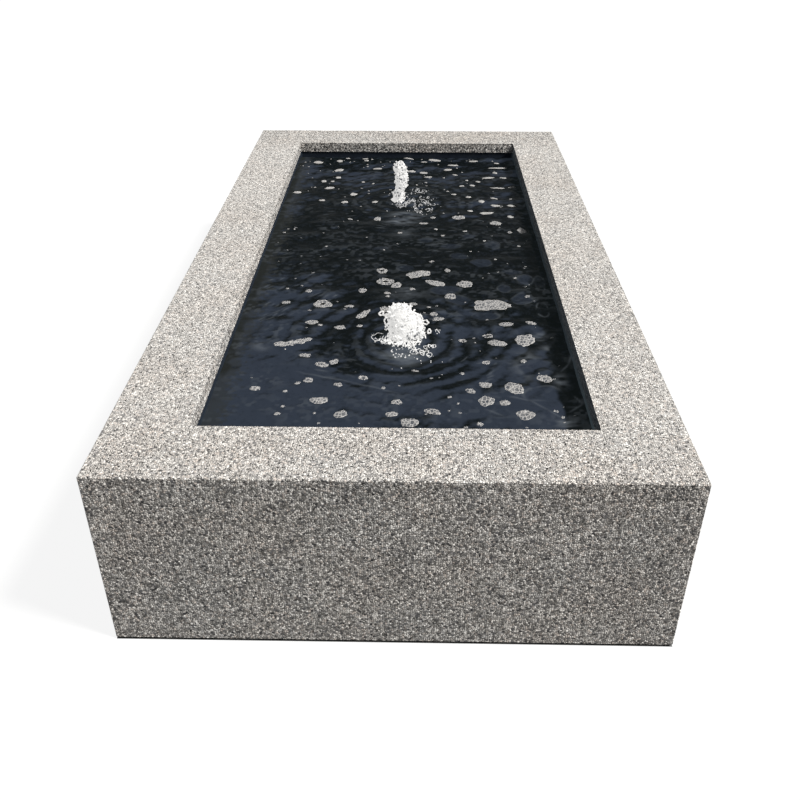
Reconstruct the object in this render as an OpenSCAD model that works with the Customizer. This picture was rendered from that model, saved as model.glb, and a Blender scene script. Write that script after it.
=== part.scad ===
// Water table fountain: a low stone-faced basin with a lined pool, a pump and two foam jets.
// Millimetres. +X is the width, +Y the length with the front at -Y, and +Z is up.
// The origin is on the ground, below the middle of the pool.

/* [Stone surround] */
// Overall width, left to right
shell_w = 1020; // [940:10:1200]
// Overall length, front to back
shell_l = 2000; // [1800:10:2400]
// Height of the rim's top above the ground
shell_h = 375; // [365:5:450]
// Width of the flat rim on all four sides
rim_w = 150; // [130:5:180]
// Thickness of the rim slab
rim_t = 25; // [18:1:28]
// Thickness of the skirt walls
skirt_t = 20; // [18:1:30]
// Thickness of the lip round the pool
lip_t = 20; // [14:1:26]
// Depth of the lip that shows inside the pool
lip_drop = 30; // [29:1:36]
// Chamfer on the outer edges
arris = 1.5; // [0.5:0.5:4]

/* [Pool liner] */
// Wall thickness of the liner
liner_t = 5; // [3:0.5:8]
// Floor thickness of the liner
liner_floor_t = 6; // [4:0.5:10]
// How far the liner's wall stands back from the lip's face
liner_back = 2; // [1:0.5:5]
// Outside corner radius of the liner's upright corners
liner_corner_r = 12; // [8:1:20]
// Thickness of the sealant bead under the lip
sealant_t = 2; // [1:0.5:4]

/* [Water] */
// Depth from the rim's top down to the water
water_drop = 50; // [46:1:58]
// Thickness of the sheet that stands for the water's surface
water_skin = 6; // [4:0.5:8]
// Radius of the hole in the water's surface round each jet
jet_hole_r = 26; // [25:1:32]
// Height of the front jet above the water
front_jet_h = 88; // [70:1:110]
// Largest radius of the front jet's burst
front_jet_r = 48; // [36:1:56]
// Height of the rear jet above the water
rear_jet_h = 126; // [90:1:150]
// Largest radius of the rear jet's column
rear_jet_r = 22; // [17:1:30]

/* [Frame and deck] */
// Height of the rubber base pads
pad_h = 4; // [3:0.5:8]
// Length of a base pad
pad_l = 80; // [60:5:120]
// Height of the long rails
rail_h = 30; // [25:1:34]
// Width of the long rails
rail_w = 50; // [40:1:60]
// Distance of each rail from the middle
rail_x = 300; // [250:5:320]
// Height and width of the cross bearers
bearer_size = 40; // [30:1:42]
// Wall thickness of the steel tube
tube_wall = 3; // [2:0.5:4]
// Distance of the end bearers from the ends
bearer_inset = 200; // [160:10:240]
// Number of cross bearers
bearer_count = 5; // [4:1:5]
// Thickness of the deck board
deck_t = 18; // [15:1:20]
// Leg length of the angle brackets
bracket_leg = 50; // [40:1:60]
// Thickness of the angle brackets
bracket_t = 4; // [3:0.5:6]
// Shank radius of the bracket bolts
bolt_r = 4; // [3:0.5:5]
// Depth that a bolt reaches into what it holds
bolt_bite = 14; // [10:1:15]

/* [Drain and cable ways] */
// Distance of the drain from the middle line
drain_x = 150; // [100:5:200]
// Thread radius of the drain's spigot
drain_r = 16.6; // [14:0.1:20]
// Wall thickness of the drain's spigot
drain_wall = 5; // [3:0.5:6]
// Length of the drain's spigot below the deck
drain_tail = 36; // [30:1:45]
// Radius of the plain hose tail at the spigot's end
drain_tail_r = 15; // [13.8:0.1:16.4]
// Distance of the cable gland from the middle line
gland_x = 120; // [80:5:200]
// Depth of the cable gland below the water
gland_drop = 75; // [40:1:110]
// Thread radius of the cable gland
gland_r = 8; // [6:0.5:10]
// Width of the cable notch in the rear skirt
notch_w = 40; // [30:1:60]
// Height of the cable notch
notch_h = 25; // [20:1:35]
// Thickness of the notch's rubber edging
edging_t = 3; // [2:0.5:5]

/* [Pipes, valves and nozzles] */
// Outer diameter of the pipe
pipe_od = 25; // [22:0.5:27]
// Wall thickness of the pipe
pipe_wall = 2; // [1.5:0.25:3]
// Wall thickness of the moulded fittings
fitting_wall = 4.5; // [4:0.25:6]
// Depth of each pipe socket
socket_depth = 18; // [14:1:20]
// Distance of each valve from the pump
valve_y = 150; // [130:5:200]
// Distance of each nozzle from the pump
nozzle_y = 425; // [380:5:500]
// Length of a valve's lever
lever_l = 70; // [50:1:90]
// Radius of the nozzle's swivel ball
swivel_r = 13; // [11:0.5:14]
// Length of the nozzle head above the swivel
head_l = 42; // [38:1:46]
// Outer radius of the nozzle head
head_r = 14; // [12:0.5:15]
// Radius of the nozzle stand's base
stand_r = 60; // [45:1:75]
// Height of the nozzle stand's base
stand_h = 12; // [8:1:20]

/* [Pump] */
// Width and height of the pump's casing
pump_size = 72; // [68:1:76]
// Length of the motor casing
motor_l = 98; // [90:1:120]
// Height of the rubber feet
foot_h = 6; // [4:0.5:10]
// Wall thickness of the pump's mouldings
pump_wall = 3; // [2.5:0.5:4]
// Length of the strainer cage
cage_l = 84; // [70:1:110]
// Radius of the rotor
rotor_r = 14; // [12:0.5:15]
// Radius of the ceramic shaft
shaft_r = 2.5; // [2:0.25:3]
// Radius of the impeller
impeller_r = 24; // [20:0.5:25]
// Radius of the flow dial's knob
dial_r = 14; // [10:0.5:18]

/* [Hidden] */
$fn = 64;

// Clearances: glued or static pieces, running pieces, and pieces on different bodies
glue_gap = 0.15;
run_gap = 0.1;
move_gap = 0.3;
// How far a cutting shape runs past the face that it cuts
past = 1;

// The pool's opening and the liner's inner faces, as half sizes
open_x = shell_w/2 - rim_w;
open_y = shell_l/2 - rim_w;
pool_x = open_x + liner_back;
pool_y = open_y + liner_back;
cavity_x = shell_w/2 - skirt_t;
cavity_y = shell_l/2 - skirt_t;

// Heights, from the ground up
rail_top = pad_h + rail_h;
bearer_top = rail_top + bearer_size;
deck_top = bearer_top + deck_t;
pool_floor = deck_top + liner_floor_t;
liner_top = shell_h - lip_drop - sealant_t;
water_z = shell_h - water_drop;

// Cross bearers, and the drain between the last two
bearer_step = (shell_l - 2*bearer_inset)/(bearer_count - 1);
bearer_ys = [for (i = [0 : bearer_count - 1]) -shell_l/2 + bearer_inset + i*bearer_step];
drain_y = bearer_ys[bearer_count - 1] - bearer_step/2;
bolt_hole_r = bolt_r + glue_gap;
bolt_head_r = bolt_r*1.85;
bolt_head_h = bolt_r*1.3;
bracket_bolt_at = bracket_leg*0.56;

// Nozzle stack: the swivel's centre hangs a fixed distance under the water
nozzle_top = water_z - water_skin - 2;
swivel_z = nozzle_top - head_l;
seat_shoulder = 4;
seat_wall = 3.5;
tee_top = swivel_z - swivel_r - seat_shoulder;
pipe_r = pipe_od/2;
socket_r = pipe_r + glue_gap;
fitting_r = socket_r + fitting_wall;
water_way = pipe_r - pipe_wall;
tee_arm = fitting_r + 12.85;
pipe_z = tee_top - tee_arm;
tee_bottom = pipe_z - tee_arm;
run_arm = socket_depth + 22;

// Valves
valve_half = socket_depth + 27;
ball_r = pipe_r + 3.5;
ball_gap = 0.1;
stem_r = 5;
valve_body_r = ball_r + 6;
boss_r = 9;
boss_top = pipe_z + valve_body_r + 10;
lever_t = 6;

// Pump: the axis of the rotor is along X, and the outlet stands over the origin
pump_half = pump_size/2;
pump_z = pool_floor + foot_h + pump_half;
cover_x0 = -14;
seal_t = 2;
motor_x1 = cover_x0 - seal_t;
motor_x0 = motor_x1 - motor_l + seal_t;
can_r = rotor_r + 1;
can_wall = 1.5;
can_x0 = motor_x0 + 16;
volute_r = impeller_r + 3;
volute_out = volute_r + pump_wall + 2;
cover_x1 = 14;
cover_plate_t = 5;
adaptor_flange = 10;
stub_r = pipe_r + 1.5;
stub_in = 10.15;
stub_top = tee_bottom - adaptor_flange;
inlet_r = 14;
bush_r = 6;
screw_at = pump_half - 9;
screw_r = 2;
cage_x0 = cover_x0 + cover_plate_t;
cage_x1 = cage_x0 + cage_l;
slot_count = 7;
slot_w = 4;

// Drain
gasket_t = 3;
drain_flange_r = drain_r + 15.4;
drain_flange_t = 5;
drain_bore = drain_r - drain_wall;
drain_deck = bearer_top;
drain_nut_h = 12;
drain_thread_end = drain_deck - drain_nut_h - 2;
plug_seal_r = 1.4;
plug_seal_at = drain_bore - plug_seal_r - run_gap;

// A box given by its lowest and highest corners
module span(lo, hi) {
    translate(lo) cube(hi - lo);
}

// A block centred on X and Y whose twelve edges are chamfered
module chamfered_block(w, l, z0, z1, c) {
    h = z1 - z0;
    intersection() {
        translate([0, 0, z0]) linear_extrude(h) chamfered_rect(w, l, c);
        translate([0, l/2, (z0 + z1)/2]) rotate([90, 0, 0]) linear_extrude(l) chamfered_rect(w, h, c);
        translate([-w/2, 0, (z0 + z1)/2]) rotate([90, 0, 90]) linear_extrude(w) chamfered_rect(l, h, c);
    }
}

module chamfered_rect(w, l, c) {
    x = w/2;
    y = l/2;
    polygon([[x - c, -y], [x, -y + c], [x, y - c], [x - c, y], [-x + c, y], [-x, y - c], [-x, -y + c], [-x + c, -y]]);
}

// A rectangle with true round corners, as a union of exact shapes
module round_rect(w, l, r) {
    square([w - 2*r, l], center = true);
    square([w, l - 2*r], center = true);
    for (sx = [-1, 1], sy = [-1, 1])
        translate([sx*(w/2 - r), sy*(l/2 - r)]) circle(r);
}

// Cylinders along X, Y and Z from one coordinate to another
module rod_x(r, x0, x1) {
    translate([x0, 0, 0]) rotate([0, 90, 0]) cylinder(h = x1 - x0, r = r);
}

module rod_y(r, y0, y1) {
    translate([0, y1, 0]) rotate([90, 0, 0]) cylinder(h = y1 - y0, r = r);
}

module rod_z(r, z0, z1) {
    translate([0, 0, z0]) cylinder(h = z1 - z0, r = r);
}

module hex_z(r, z0, z1) {
    translate([0, 0, z0]) cylinder(h = z1 - z0, r = r, $fn = 6);
}

// Square steel tube along X or Y
module tube_x(w, h, x0, x1) {
    difference() {
        span([x0, -w/2, 0], [x1, w/2, h]);
        span([x0 - past, -w/2 + tube_wall, tube_wall], [x1 + past, w/2 - tube_wall, h - tube_wall]);
    }
}

module tube_y(w, h, y0, y1) {
    difference() {
        span([-w/2, y0, 0], [w/2, y1, h]);
        span([-w/2 + tube_wall, y0 - past, tube_wall], [w/2 - tube_wall, y1 + past, h - tube_wall]);
    }
}

// Places children at each end of each bearer, with local +X pointing out to the skirt's inner face
module at_bearer_ends() {
    for (y = bearer_ys)
        for (turn = [0, 180])
            translate([0, y, 0]) rotate([0, 0, turn]) translate([cavity_x, 0, bearer_top]) children();
}

// The same line of pipe runs to the rear and, mirrored, to the front
module to_front() {
    mirror([0, 1, 0]) children();
}

// Stone surround and pool

// One-piece cast shell: rim, skirts and the lip that turns down into the pool
module stone_surround() color([0.78, 0.75, 0.71]) {
    difference() {
        chamfered_block(shell_w, shell_l, pad_h, shell_h, arris);
        difference() {
            span([-cavity_x, -cavity_y, pad_h - past], [cavity_x, cavity_y, shell_h - rim_t]);
            span([-open_x - lip_t, -open_y - lip_t, shell_h - lip_drop],
                 [open_x + lip_t, open_y + lip_t, shell_h - rim_t + past]);
        }
        span([-open_x, -open_y, pad_h], [open_x, open_y, shell_h + past]);
        span([-notch_w/2, cavity_y - past, pad_h - past], [notch_w/2, shell_l/2 + past, pad_h + notch_h]);
        at_bearer_ends() translate([0, 0, bracket_bolt_at]) rod_x(bolt_hole_r, -past, bolt_bite);
    }
}

// Moulded tub with a turned-out flange that hangs under the lip
module pool_liner() color([0.06, 0.08, 0.11]) {
    wall_x = pool_x + liner_t;
    wall_y = pool_y + liner_t;
    difference() {
        union() {
            translate([0, 0, deck_top]) linear_extrude(liner_top - deck_top)
                round_rect(2*wall_x, 2*wall_y, liner_corner_r);
            span([-open_x - lip_t, -open_y - lip_t, liner_top - liner_t], [open_x + lip_t, open_y + lip_t, liner_top]);
        }
        translate([0, 0, pool_floor]) linear_extrude(liner_top)
            round_rect(2*pool_x, 2*pool_y, liner_corner_r - liner_t);
        translate([drain_x, drain_y, 0]) rod_z(drain_r + move_gap, deck_top - past, pool_floor + past);
        translate([gland_x, 0, water_z - gland_drop]) rod_y(gland_r + glue_gap, pool_y - past, wall_y + past);
    }
}

// Bead of black sealant between the liner's flange and the lip
module rim_sealant() color([0.05, 0.05, 0.06]) {
    difference() {
        span([-open_x - lip_t, -open_y - lip_t, liner_top],
             [open_x + lip_t, open_y + lip_t, liner_top + sealant_t]);
        translate([0, 0, liner_top - past]) linear_extrude(sealant_t + 2*past)
            round_rect(2*pool_x, 2*pool_y, liner_corner_r - liner_t);
    }
}

// The water's surface, open round each jet
module pool_water() color([0.07, 0.09, 0.13]) {
    difference() {
        translate([0, 0, water_z - water_skin]) linear_extrude(water_skin)
            round_rect(2*pool_x, 2*pool_y, liner_corner_r - liner_t);
        for (side = [-1, 1])
            translate([0, side*nozzle_y, 0]) rod_z(jet_hole_r, water_z - water_skin - past, water_z + past);
    }
}

// Frame, deck and base

// Board under the liner's floor
module deck_board() color([0.62, 0.45, 0.28]) {
    over = liner_t + 3;
    difference() {
        span([-pool_x - over, -pool_y - over, bearer_top], [pool_x + over, pool_y + over, deck_top]);
        translate([drain_x, drain_y, 0]) rod_z(drain_r + move_gap, bearer_top - past, deck_top + past);
    }
}

// Two long tubes that carry the bearers
module frame_rails() color([0.62, 0.64, 0.66]) {
    for (side = [-1, 1])
        translate([side*rail_x, 0, pad_h]) tube_y(rail_w, rail_h, -cavity_y + 20, cavity_y - 20);
}

// Cross tubes from skirt to skirt
module frame_bearers() color([0.66, 0.68, 0.70]) {
    difference() {
        for (y = bearer_ys)
            translate([0, y, rail_top]) tube_x(bearer_size, bearer_size, -cavity_x, cavity_x);
        at_bearer_ends() translate([-bracket_bolt_at, 0, 0]) rod_z(bolt_hole_r, -tube_wall - past, past);
    }
}

// Steel angles that tie each bearer's end to the skirt
module shell_brackets() color([0.58, 0.60, 0.62]) {
    half = bearer_size/2;
    at_bearer_ends() difference() {
        union() {
            span([-bracket_leg, -half, 0], [0, half, bracket_t]);
            span([-bracket_t, -half, 0], [0, half, bracket_leg]);
        }
        translate([-bracket_bolt_at, 0, 0]) rod_z(bolt_hole_r, -past, bracket_t + past);
        translate([0, 0, bracket_bolt_at]) rod_x(bolt_hole_r, -bracket_t - past, past);
    }
}

// Hex bolt along +Z with its head's underside at z = 0
module bolt(reach) {
    hex_z(bolt_head_r, 0, bolt_head_h);
    rod_z(bolt_r, -reach, 0);
}

// One bolt down into the bearer and one into the skirt at each bracket
module bracket_bolts() color([0.75, 0.76, 0.78]) {
    reach = bracket_t + bolt_bite;
    at_bearer_ends() {
        translate([-bracket_bolt_at, 0, bracket_t]) bolt(reach);
        translate([-bracket_t, 0, bracket_bolt_at]) rotate([0, -90, 0]) bolt(reach);
    }
}

// Rubber pads under the skirts and the rails
module base_pads() color([0.08, 0.08, 0.08]) {
    for (y = bearer_ys, side = [-1, 1]) {
        x = side*(shell_w/2 - skirt_t/2 - arris);
        span([x - skirt_t/2 + arris, y - pad_l/2, 0], [x + skirt_t/2 - arris, y + pad_l/2, pad_h]);
        span([side*rail_x - rail_w/2, y - pad_l/2, 0], [side*rail_x + rail_w/2, y + pad_l/2, pad_h]);
    }
    for (x = [-shell_w/4, shell_w/4], side = [-1, 1]) {
        y = side*(shell_l/2 - skirt_t/2 - arris);
        span([x - pad_l/2, y - skirt_t/2 + arris, 0], [x + pad_l/2, y + skirt_t/2 - arris, pad_h]);
    }
}

// Rubber edging round the cable notch, flush with the skirt's outer face
module cable_outlet_edging() color([0.06, 0.06, 0.07]) {
    inner = notch_w/2 - edging_t;
    difference() {
        union() {
            span([-notch_w/2, cavity_y, pad_h], [notch_w/2, shell_l/2 - arris, pad_h + notch_h]);
            span([-notch_w/2 - 5, cavity_y - 2, pad_h], [notch_w/2 + 5, cavity_y, pad_h + notch_h + 5]);
        }
        span([-inner, cavity_y - 2 - past, pad_h - past], [inner, shell_l/2 + past, pad_h + notch_h - edging_t]);
    }
}

// Drain

module at_drain() {
    translate([drain_x, drain_y, 0]) children();
}

// Flanged outlet with a threaded tail through the liner and the deck
module drain_fitting() color([0.12, 0.12, 0.13]) {
    at_drain() difference() {
        union() {
            rod_z(drain_flange_r, pool_floor + gasket_t, pool_floor + gasket_t + drain_flange_t);
            rod_z(drain_r, drain_thread_end, pool_floor + gasket_t + past);
            rod_z(drain_tail_r, drain_deck - drain_tail, drain_thread_end + past);
        }
        rod_z(drain_bore, drain_deck - drain_tail - past, pool_floor + gasket_t + drain_flange_t + past);
    }
}

module drain_gasket() color([0.05, 0.05, 0.05]) {
    at_drain() difference() {
        rod_z(drain_flange_r - 1, pool_floor, pool_floor + gasket_t);
        rod_z(drain_r + glue_gap, pool_floor - past, pool_floor + gasket_t + past);
    }
}

module drain_nut() color([0.14, 0.14, 0.15]) {
    at_drain() difference() {
        hex_z(drain_r + 11, drain_deck - drain_nut_h, drain_deck);
        rod_z(drain_r + run_gap, drain_deck - drain_nut_h - past, drain_deck + past);
    }
}

// Plug with a grooved stem and a finger knob
module drain_plug() color([0.15, 0.15, 0.16]) {
    top = pool_floor + gasket_t + drain_flange_t;
    at_drain() difference() {
        union() {
            rod_z(drain_bore - move_gap, top - 16, top);
            rod_z(drain_bore + 5, top, top + 4);
            rod_z(5, top + 4, top + 12);
            rod_z(8, top + 12, top + 16);
        }
        translate([0, 0, top - 10]) rotate_extrude() translate([plug_seal_at, 0]) circle(plug_seal_r + run_gap);
    }
}

// Ring seal in the plug's groove
module drain_plug_seal() color([0.04, 0.04, 0.04]) {
    top = pool_floor + gasket_t + drain_flange_t;
    at_drain() translate([0, 0, top - 10]) rotate_extrude() translate([plug_seal_at, 0]) circle(plug_seal_r);
}

// Cable gland in the liner's rear wall, with local +Z pointing out through the wall

module at_gland() {
    translate([gland_x, pool_y, water_z - gland_drop]) rotate([-90, 0, 0]) children();
}

module cable_gland_body() color([0.10, 0.10, 0.11]) {
    at_gland() difference() {
        union() {
            hex_z(gland_r + 7, -7, -2);
            rod_z(gland_r, -19, -7 + past);
            rod_z(gland_r, -7, liner_t + 14);
        }
        rod_z(gland_r - 3, -19 - past, liner_t + 14 + past);
    }
}

module cable_gland_seal() color([0.05, 0.05, 0.05]) {
    at_gland() difference() {
        rod_z(gland_r + 4, -2, 0);
        rod_z(gland_r + glue_gap, -2 - past, past);
    }
}

module cable_gland_locknut() color([0.12, 0.12, 0.13]) {
    at_gland() difference() {
        hex_z(gland_r + 6, liner_t, liner_t + 6);
        rod_z(gland_r + glue_gap, liner_t - past, liner_t + 6 + past);
    }
}

module cable_gland_cap() color([0.12, 0.12, 0.13]) {
    at_gland() difference() {
        union() {
            hex_z(gland_r + 5, -16, -7);
            rod_z(gland_r + 3.5, -22, -16 + past);
        }
        rod_z(gland_r + glue_gap, -19, -7 + past);
        rod_z(gland_r - 4, -22 - past, -19 + past);
    }
}

// Pump

module at_pump() {
    translate([0, 0, pump_z]) children();
}

// A casing block along X with chamfered long edges
module casing(half, x0, x1, c) {
    translate([x0, 0, 0]) rotate([90, 0, 90]) linear_extrude(x1 - x0) chamfered_rect(2*half, 2*half, c);
}

// Four corners of the casing, seen along X
module at_corners(d) {
    for (sy = [-1, 1], sz = [-1, 1])
        translate([0, sy*d, sz*d]) children();
}

// Motor casing with the thin can that the rotor turns in
module pump_housing() color([0.09, 0.09, 0.10]) {
    cavity = pump_half - pump_wall - 1;
    at_pump() difference() {
        casing(pump_half, motor_x0, motor_x1, 8);
        difference() {
            casing(cavity, motor_x0 - past, motor_x1 - 12, 5);
            rod_x(can_r + can_wall, can_x0, motor_x1);
        }
        rod_x(can_r, can_x0 + 2, motor_x1 + past);
        at_corners(screw_at) rod_x(screw_r + glue_gap, motor_x1 - 10, motor_x1 + past);
    }
}

// Plate that closes the back of the casing
module pump_back_plate() color([0.10, 0.10, 0.11]) {
    at_pump() casing(pump_half - pump_wall - 1 - glue_gap, motor_x0, motor_x0 + 4, 5);
}

// Laminated stator round the can
module pump_stator() color([0.45, 0.30, 0.20]) {
    at_pump() difference() {
        casing(pump_half - pump_wall - 1 - move_gap, can_x0 + 6, motor_x1 - 14, 6);
        rod_x(can_r + can_wall + glue_gap, can_x0, motor_x1);
    }
}

// Fixed ceramic shaft, held at both ends
module pump_shaft() color([0.90, 0.89, 0.86]) {
    at_pump() rod_x(shaft_r, can_x0 + 3, cover_x1 - 1);
}

// Rubber bushes that hold the shaft in the can's end and in the cover
module pump_bushes() color([0.07, 0.07, 0.07]) {
    at_pump() difference() {
        union() {
            rod_x(can_r - glue_gap, can_x0 + 2, can_x0 + 8);
            rod_x(bush_r, cover_x1 - pump_wall - 2, cover_x1 - 0.5);
        }
        rod_x(shaft_r, can_x0 + 3, cover_x1 - 1);
    }
}

// Magnet rotor, turning on the shaft
module pump_rotor() color([0.20, 0.20, 0.22]) {
    at_pump() difference() {
        rod_x(rotor_r, can_x0 + 9, motor_x1 - 8);
        rod_x(shaft_r + run_gap, can_x0, motor_x1);
    }
}

// Open impeller with five vanes, pressed against the rotor's end
module pump_impeller() color([0.15, 0.30, 0.50]) {
    vane_x = cover_x1 - pump_wall - 4;
    at_pump() difference() {
        union() {
            rod_x(6, motor_x1 - 8, vane_x);
            rod_x(impeller_r, cover_x0 + 3, cover_x0 + 6);
            for (i = [0 : 4])
                rotate([i*72, 0, 0]) span([cover_x0 + 5, 4, -1], [vane_x, impeller_r - 1, 1]);
        }
        rod_x(shaft_r + run_gap, motor_x1 - 8 - past, cover_x1);
    }
}

// Volute cover with the inlet's spider and the outlet stub
module pump_cover() color([0.10, 0.10, 0.11]) {
    at_pump() difference() {
        union() {
            casing(pump_half, cover_x0, cover_x0 + cover_plate_t, 8);
            rod_x(volute_out, cover_x0, cover_x1);
            rod_z(stub_r, 0, stub_top - pump_z);
        }
        rod_x(volute_r, cover_x0 - past, cover_x1 - pump_wall - 2);
        rod_z(stub_in, volute_r - 8, stub_top - pump_z + past);
        difference() {
            rod_x(inlet_r, 0, cover_x1 + past);
            rod_x(bush_r + 2, 0, cover_x1 + past);
            for (i = [0 : 2])
                rotate([i*120 + 60, 0, 0]) span([cover_x1 - pump_wall - 2, 0, -1.5], [cover_x1, inlet_r + past, 1.5]);
        }
        rod_x(bush_r, cover_x1 - pump_wall - 3, cover_x1 - 0.5);
        rod_x(shaft_r + 2, cover_x1 - 2, cover_x1 + past);
        at_corners(screw_at) rod_x(screw_r + glue_gap, cover_x0 - past, cover_x0 + cover_plate_t + past);
    }
}

// Flat ring between the casing and the cover
module pump_cover_seal() color([0.05, 0.05, 0.05]) {
    at_pump() difference() {
        rod_x(volute_out, motor_x1, cover_x0);
        rod_x(volute_r, motor_x1 - past, cover_x0 + past);
    }
}

module pump_cover_screws() color([0.78, 0.79, 0.80]) {
    at_pump() at_corners(screw_at) {
        rod_x(3.5, cover_x0 + cover_plate_t, cover_x0 + cover_plate_t + 3);
        rod_x(screw_r, motor_x1 - 9, cover_x0 + cover_plate_t);
    }
}

// Slotted strainer that pulls off towards +X
module pump_cage() color([0.11, 0.11, 0.12]) {
    inner = pump_half - pump_wall;
    slot_step = (cage_l - 44)/(slot_count - 1);
    slot_z = (2*inner - 16)/(slot_count - 1);
    at_pump() difference() {
        casing(pump_half, cage_x0, cage_x1, 6);
        casing(inner, cage_x0 - past, cage_x1 - pump_wall, 4);
        span([cage_x0 - past, -stub_r - move_gap, 0], [stub_r + move_gap, stub_r + move_gap, pump_half + past]);
        for (i = [0 : slot_count - 1])
            translate([cage_x0 + 32 + i*slot_step, 0, 0]) {
                span([-slot_w/2, -inner + 8, -pump_half - past], [slot_w/2, inner - 8, pump_half + past]);
                span([-slot_w/2, -pump_half - past, -inner + 8], [slot_w/2, pump_half + past, inner - 8]);
            }
        for (i = [0, 1, 5, 6], side = [-1, 1])
            translate([0, 0, -inner + 8 + i*slot_z])
                span([cage_x1 - pump_wall - past, -inner + 6, -slot_w/2], [cage_x1 + past, inner - 6, slot_w/2]);
        rod_x(4 + run_gap, cage_x1 - pump_wall - past, cage_x1 + past);
    }
}

// Knob, spindle and shutter that throttle the inlet
module flow_dial() color([0.85, 0.55, 0.10]) {
    at_pump() {
        difference() {
            rod_x(dial_r, cage_x1 + move_gap, cage_x1 + 8);
            for (i = [0 : 11])
                rotate([i*30, 0, 0]) translate([0, dial_r + 0.6, 0]) rod_x(1.6, cage_x1, cage_x1 + 9);
        }
        rod_x(4, cage_x1 - pump_wall - 5, cage_x1 + 1);
        difference() {
            rod_x(dial_r + 6, cage_x1 - pump_wall - 6, cage_x1 - pump_wall - 3);
            for (i = [0 : 3])
                rotate([i*90 + 45, 0, 0]) translate([0, 12, 0]) rod_x(3.5, cage_x1 - 12, cage_x1);
        }
        rod_x(6, cage_x1 - pump_wall - 4, cage_x1 - pump_wall - move_gap);
    }
}

// Four suction feet
module pump_feet() color([0.06, 0.06, 0.06]) {
    for (x = [motor_x0 + 16, motor_x1 - 16], side = [-1, 1])
        translate([x, side*(pump_half - 14), pool_floor]) {
            rod_z(9, 0, foot_h*0.5);
            rod_z(5, 0, foot_h);
        }
}

// Pipework over the pump

module outlet_adaptor() color([0.34, 0.35, 0.37]) {
    difference() {
        union() {
            rod_z(stub_in - glue_gap, stub_top - 12, stub_top + past);
            hex_z(fitting_r + 2, stub_top, tee_bottom);
            rod_z(pipe_r, tee_bottom - past, tee_bottom + socket_depth - 1);
        }
        rod_z(stub_in - 3, stub_top - 12 - past, tee_bottom + socket_depth);
    }
}

// A socketed arm of a tee along its own +Z, from the tee's middle
module arm(len) {
    rod_z(fitting_r, 0, len);
}

module arm_bore(len) {
    rod_z(water_way, 0, len);
    rod_z(socket_r, len - socket_depth, len + past);
}

module centre_tee() color([0.36, 0.37, 0.39]) {
    translate([0, 0, pipe_z]) difference() {
        union() {
            for (turn = [-90, 90]) rotate([turn, 0, 0]) arm(run_arm);
            rotate([180, 0, 0]) arm(tee_arm);
        }
        for (turn = [-90, 90]) rotate([turn, 0, 0]) arm_bore(run_arm);
        rotate([180, 0, 0]) arm_bore(tee_arm);
    }
}

// Pieces of one pipe line, drawn for the rear and mirrored for the front

module pipe(y0, y1) {
    translate([0, 0, pipe_z]) difference() {
        rod_y(pipe_r, y0, y1);
        rod_y(water_way, y0 - past, y1 + past);
    }
}

module pipe_inner() {
    pipe(run_arm - socket_depth, valve_y - valve_half + socket_depth);
}

module pipe_outer() {
    pipe(valve_y + valve_half - socket_depth, nozzle_y - run_arm + socket_depth);
}

module valve_body() {
    chamber = ball_r - 0.6 + 5;
    translate([0, valve_y, pipe_z]) difference() {
        union() {
            rod_y(fitting_r, -valve_half, valve_half);
            rod_y(valve_body_r, -chamber - 4, chamber + 4);
            rod_z(boss_r, 0, boss_top - pipe_z);
        }
        rod_y(water_way, -valve_half - past, valve_half + past);
        rod_y(ball_r + move_gap, -chamber, chamber);
        for (side = [-1, 1])
            translate([0, side*(valve_half - socket_depth/2 + past/2), 0])
                rod_y(socket_r, -(socket_depth + past)/2, (socket_depth + past)/2);
        rod_z(stem_r + run_gap, 0, boss_top - pipe_z + past);
    }
}

// Two rings that the ball turns against
module valve_seats() {
    chamber = ball_r - 0.6 + 5;
    translate([0, valve_y, pipe_z]) difference() {
        for (side = [-1, 1])
            rod_y(ball_r + move_gap - glue_gap, side > 0 ? chamber - 9 : -chamber, side > 0 ? chamber : -chamber + 9);
        rod_y(water_way, -chamber - past, chamber + past);
        sphere(ball_r + ball_gap);
    }
}

// Drilled ball with its stem
module valve_ball() {
    translate([0, valve_y, pipe_z]) difference() {
        union() {
            sphere(ball_r);
            rod_z(stem_r, 0, boss_top + move_gap + lever_t - 2 - pipe_z);
        }
        rod_y(water_way, -ball_r - past, ball_r + past);
    }
}

// Lever, pointing away from the pump while the valve is open
module valve_lever() {
    bottom = boss_top + move_gap;
    translate([0, valve_y, 0]) difference() {
        union() {
            rod_z(11, bottom, bottom + lever_t);
            span([-7, 0, bottom], [7, lever_l - 7, bottom + lever_t]);
            translate([0, lever_l - 7, 0]) rod_z(7, bottom, bottom + lever_t);
        }
        rod_z(stem_r + run_gap, bottom - past, bottom + lever_t - 2);
    }
}

// Elbow tee: pipe in from the side, swivel seat on top, stand below
module nozzle_tee() {
    translate([0, nozzle_y, pipe_z]) difference() {
        union() {
            rotate([90, 0, 0]) arm(run_arm);
            arm(tee_arm);
            rotate([180, 0, 0]) arm(tee_arm);
            sphere(fitting_r);
        }
        rotate([90, 0, 0]) arm_bore(run_arm);
        arm_bore(tee_arm);
        rotate([180, 0, 0]) rod_z(socket_r, tee_arm - socket_depth, tee_arm + past);
    }
}

// Weighted base and post
module nozzle_stand() {
    post_top = tee_bottom + socket_depth;
    translate([0, nozzle_y, 0]) {
        rotate_extrude() polygon([
            [0, pool_floor], [stand_r, pool_floor], [stand_r, pool_floor + stand_h - 4],
            [stand_r - 4, pool_floor + stand_h], [0, pool_floor + stand_h]]);
        rod_z(pipe_r, pool_floor + stand_h, post_top);
        rod_z(fitting_r, pool_floor + stand_h, pool_floor + stand_h + 10);
    }
}

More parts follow.
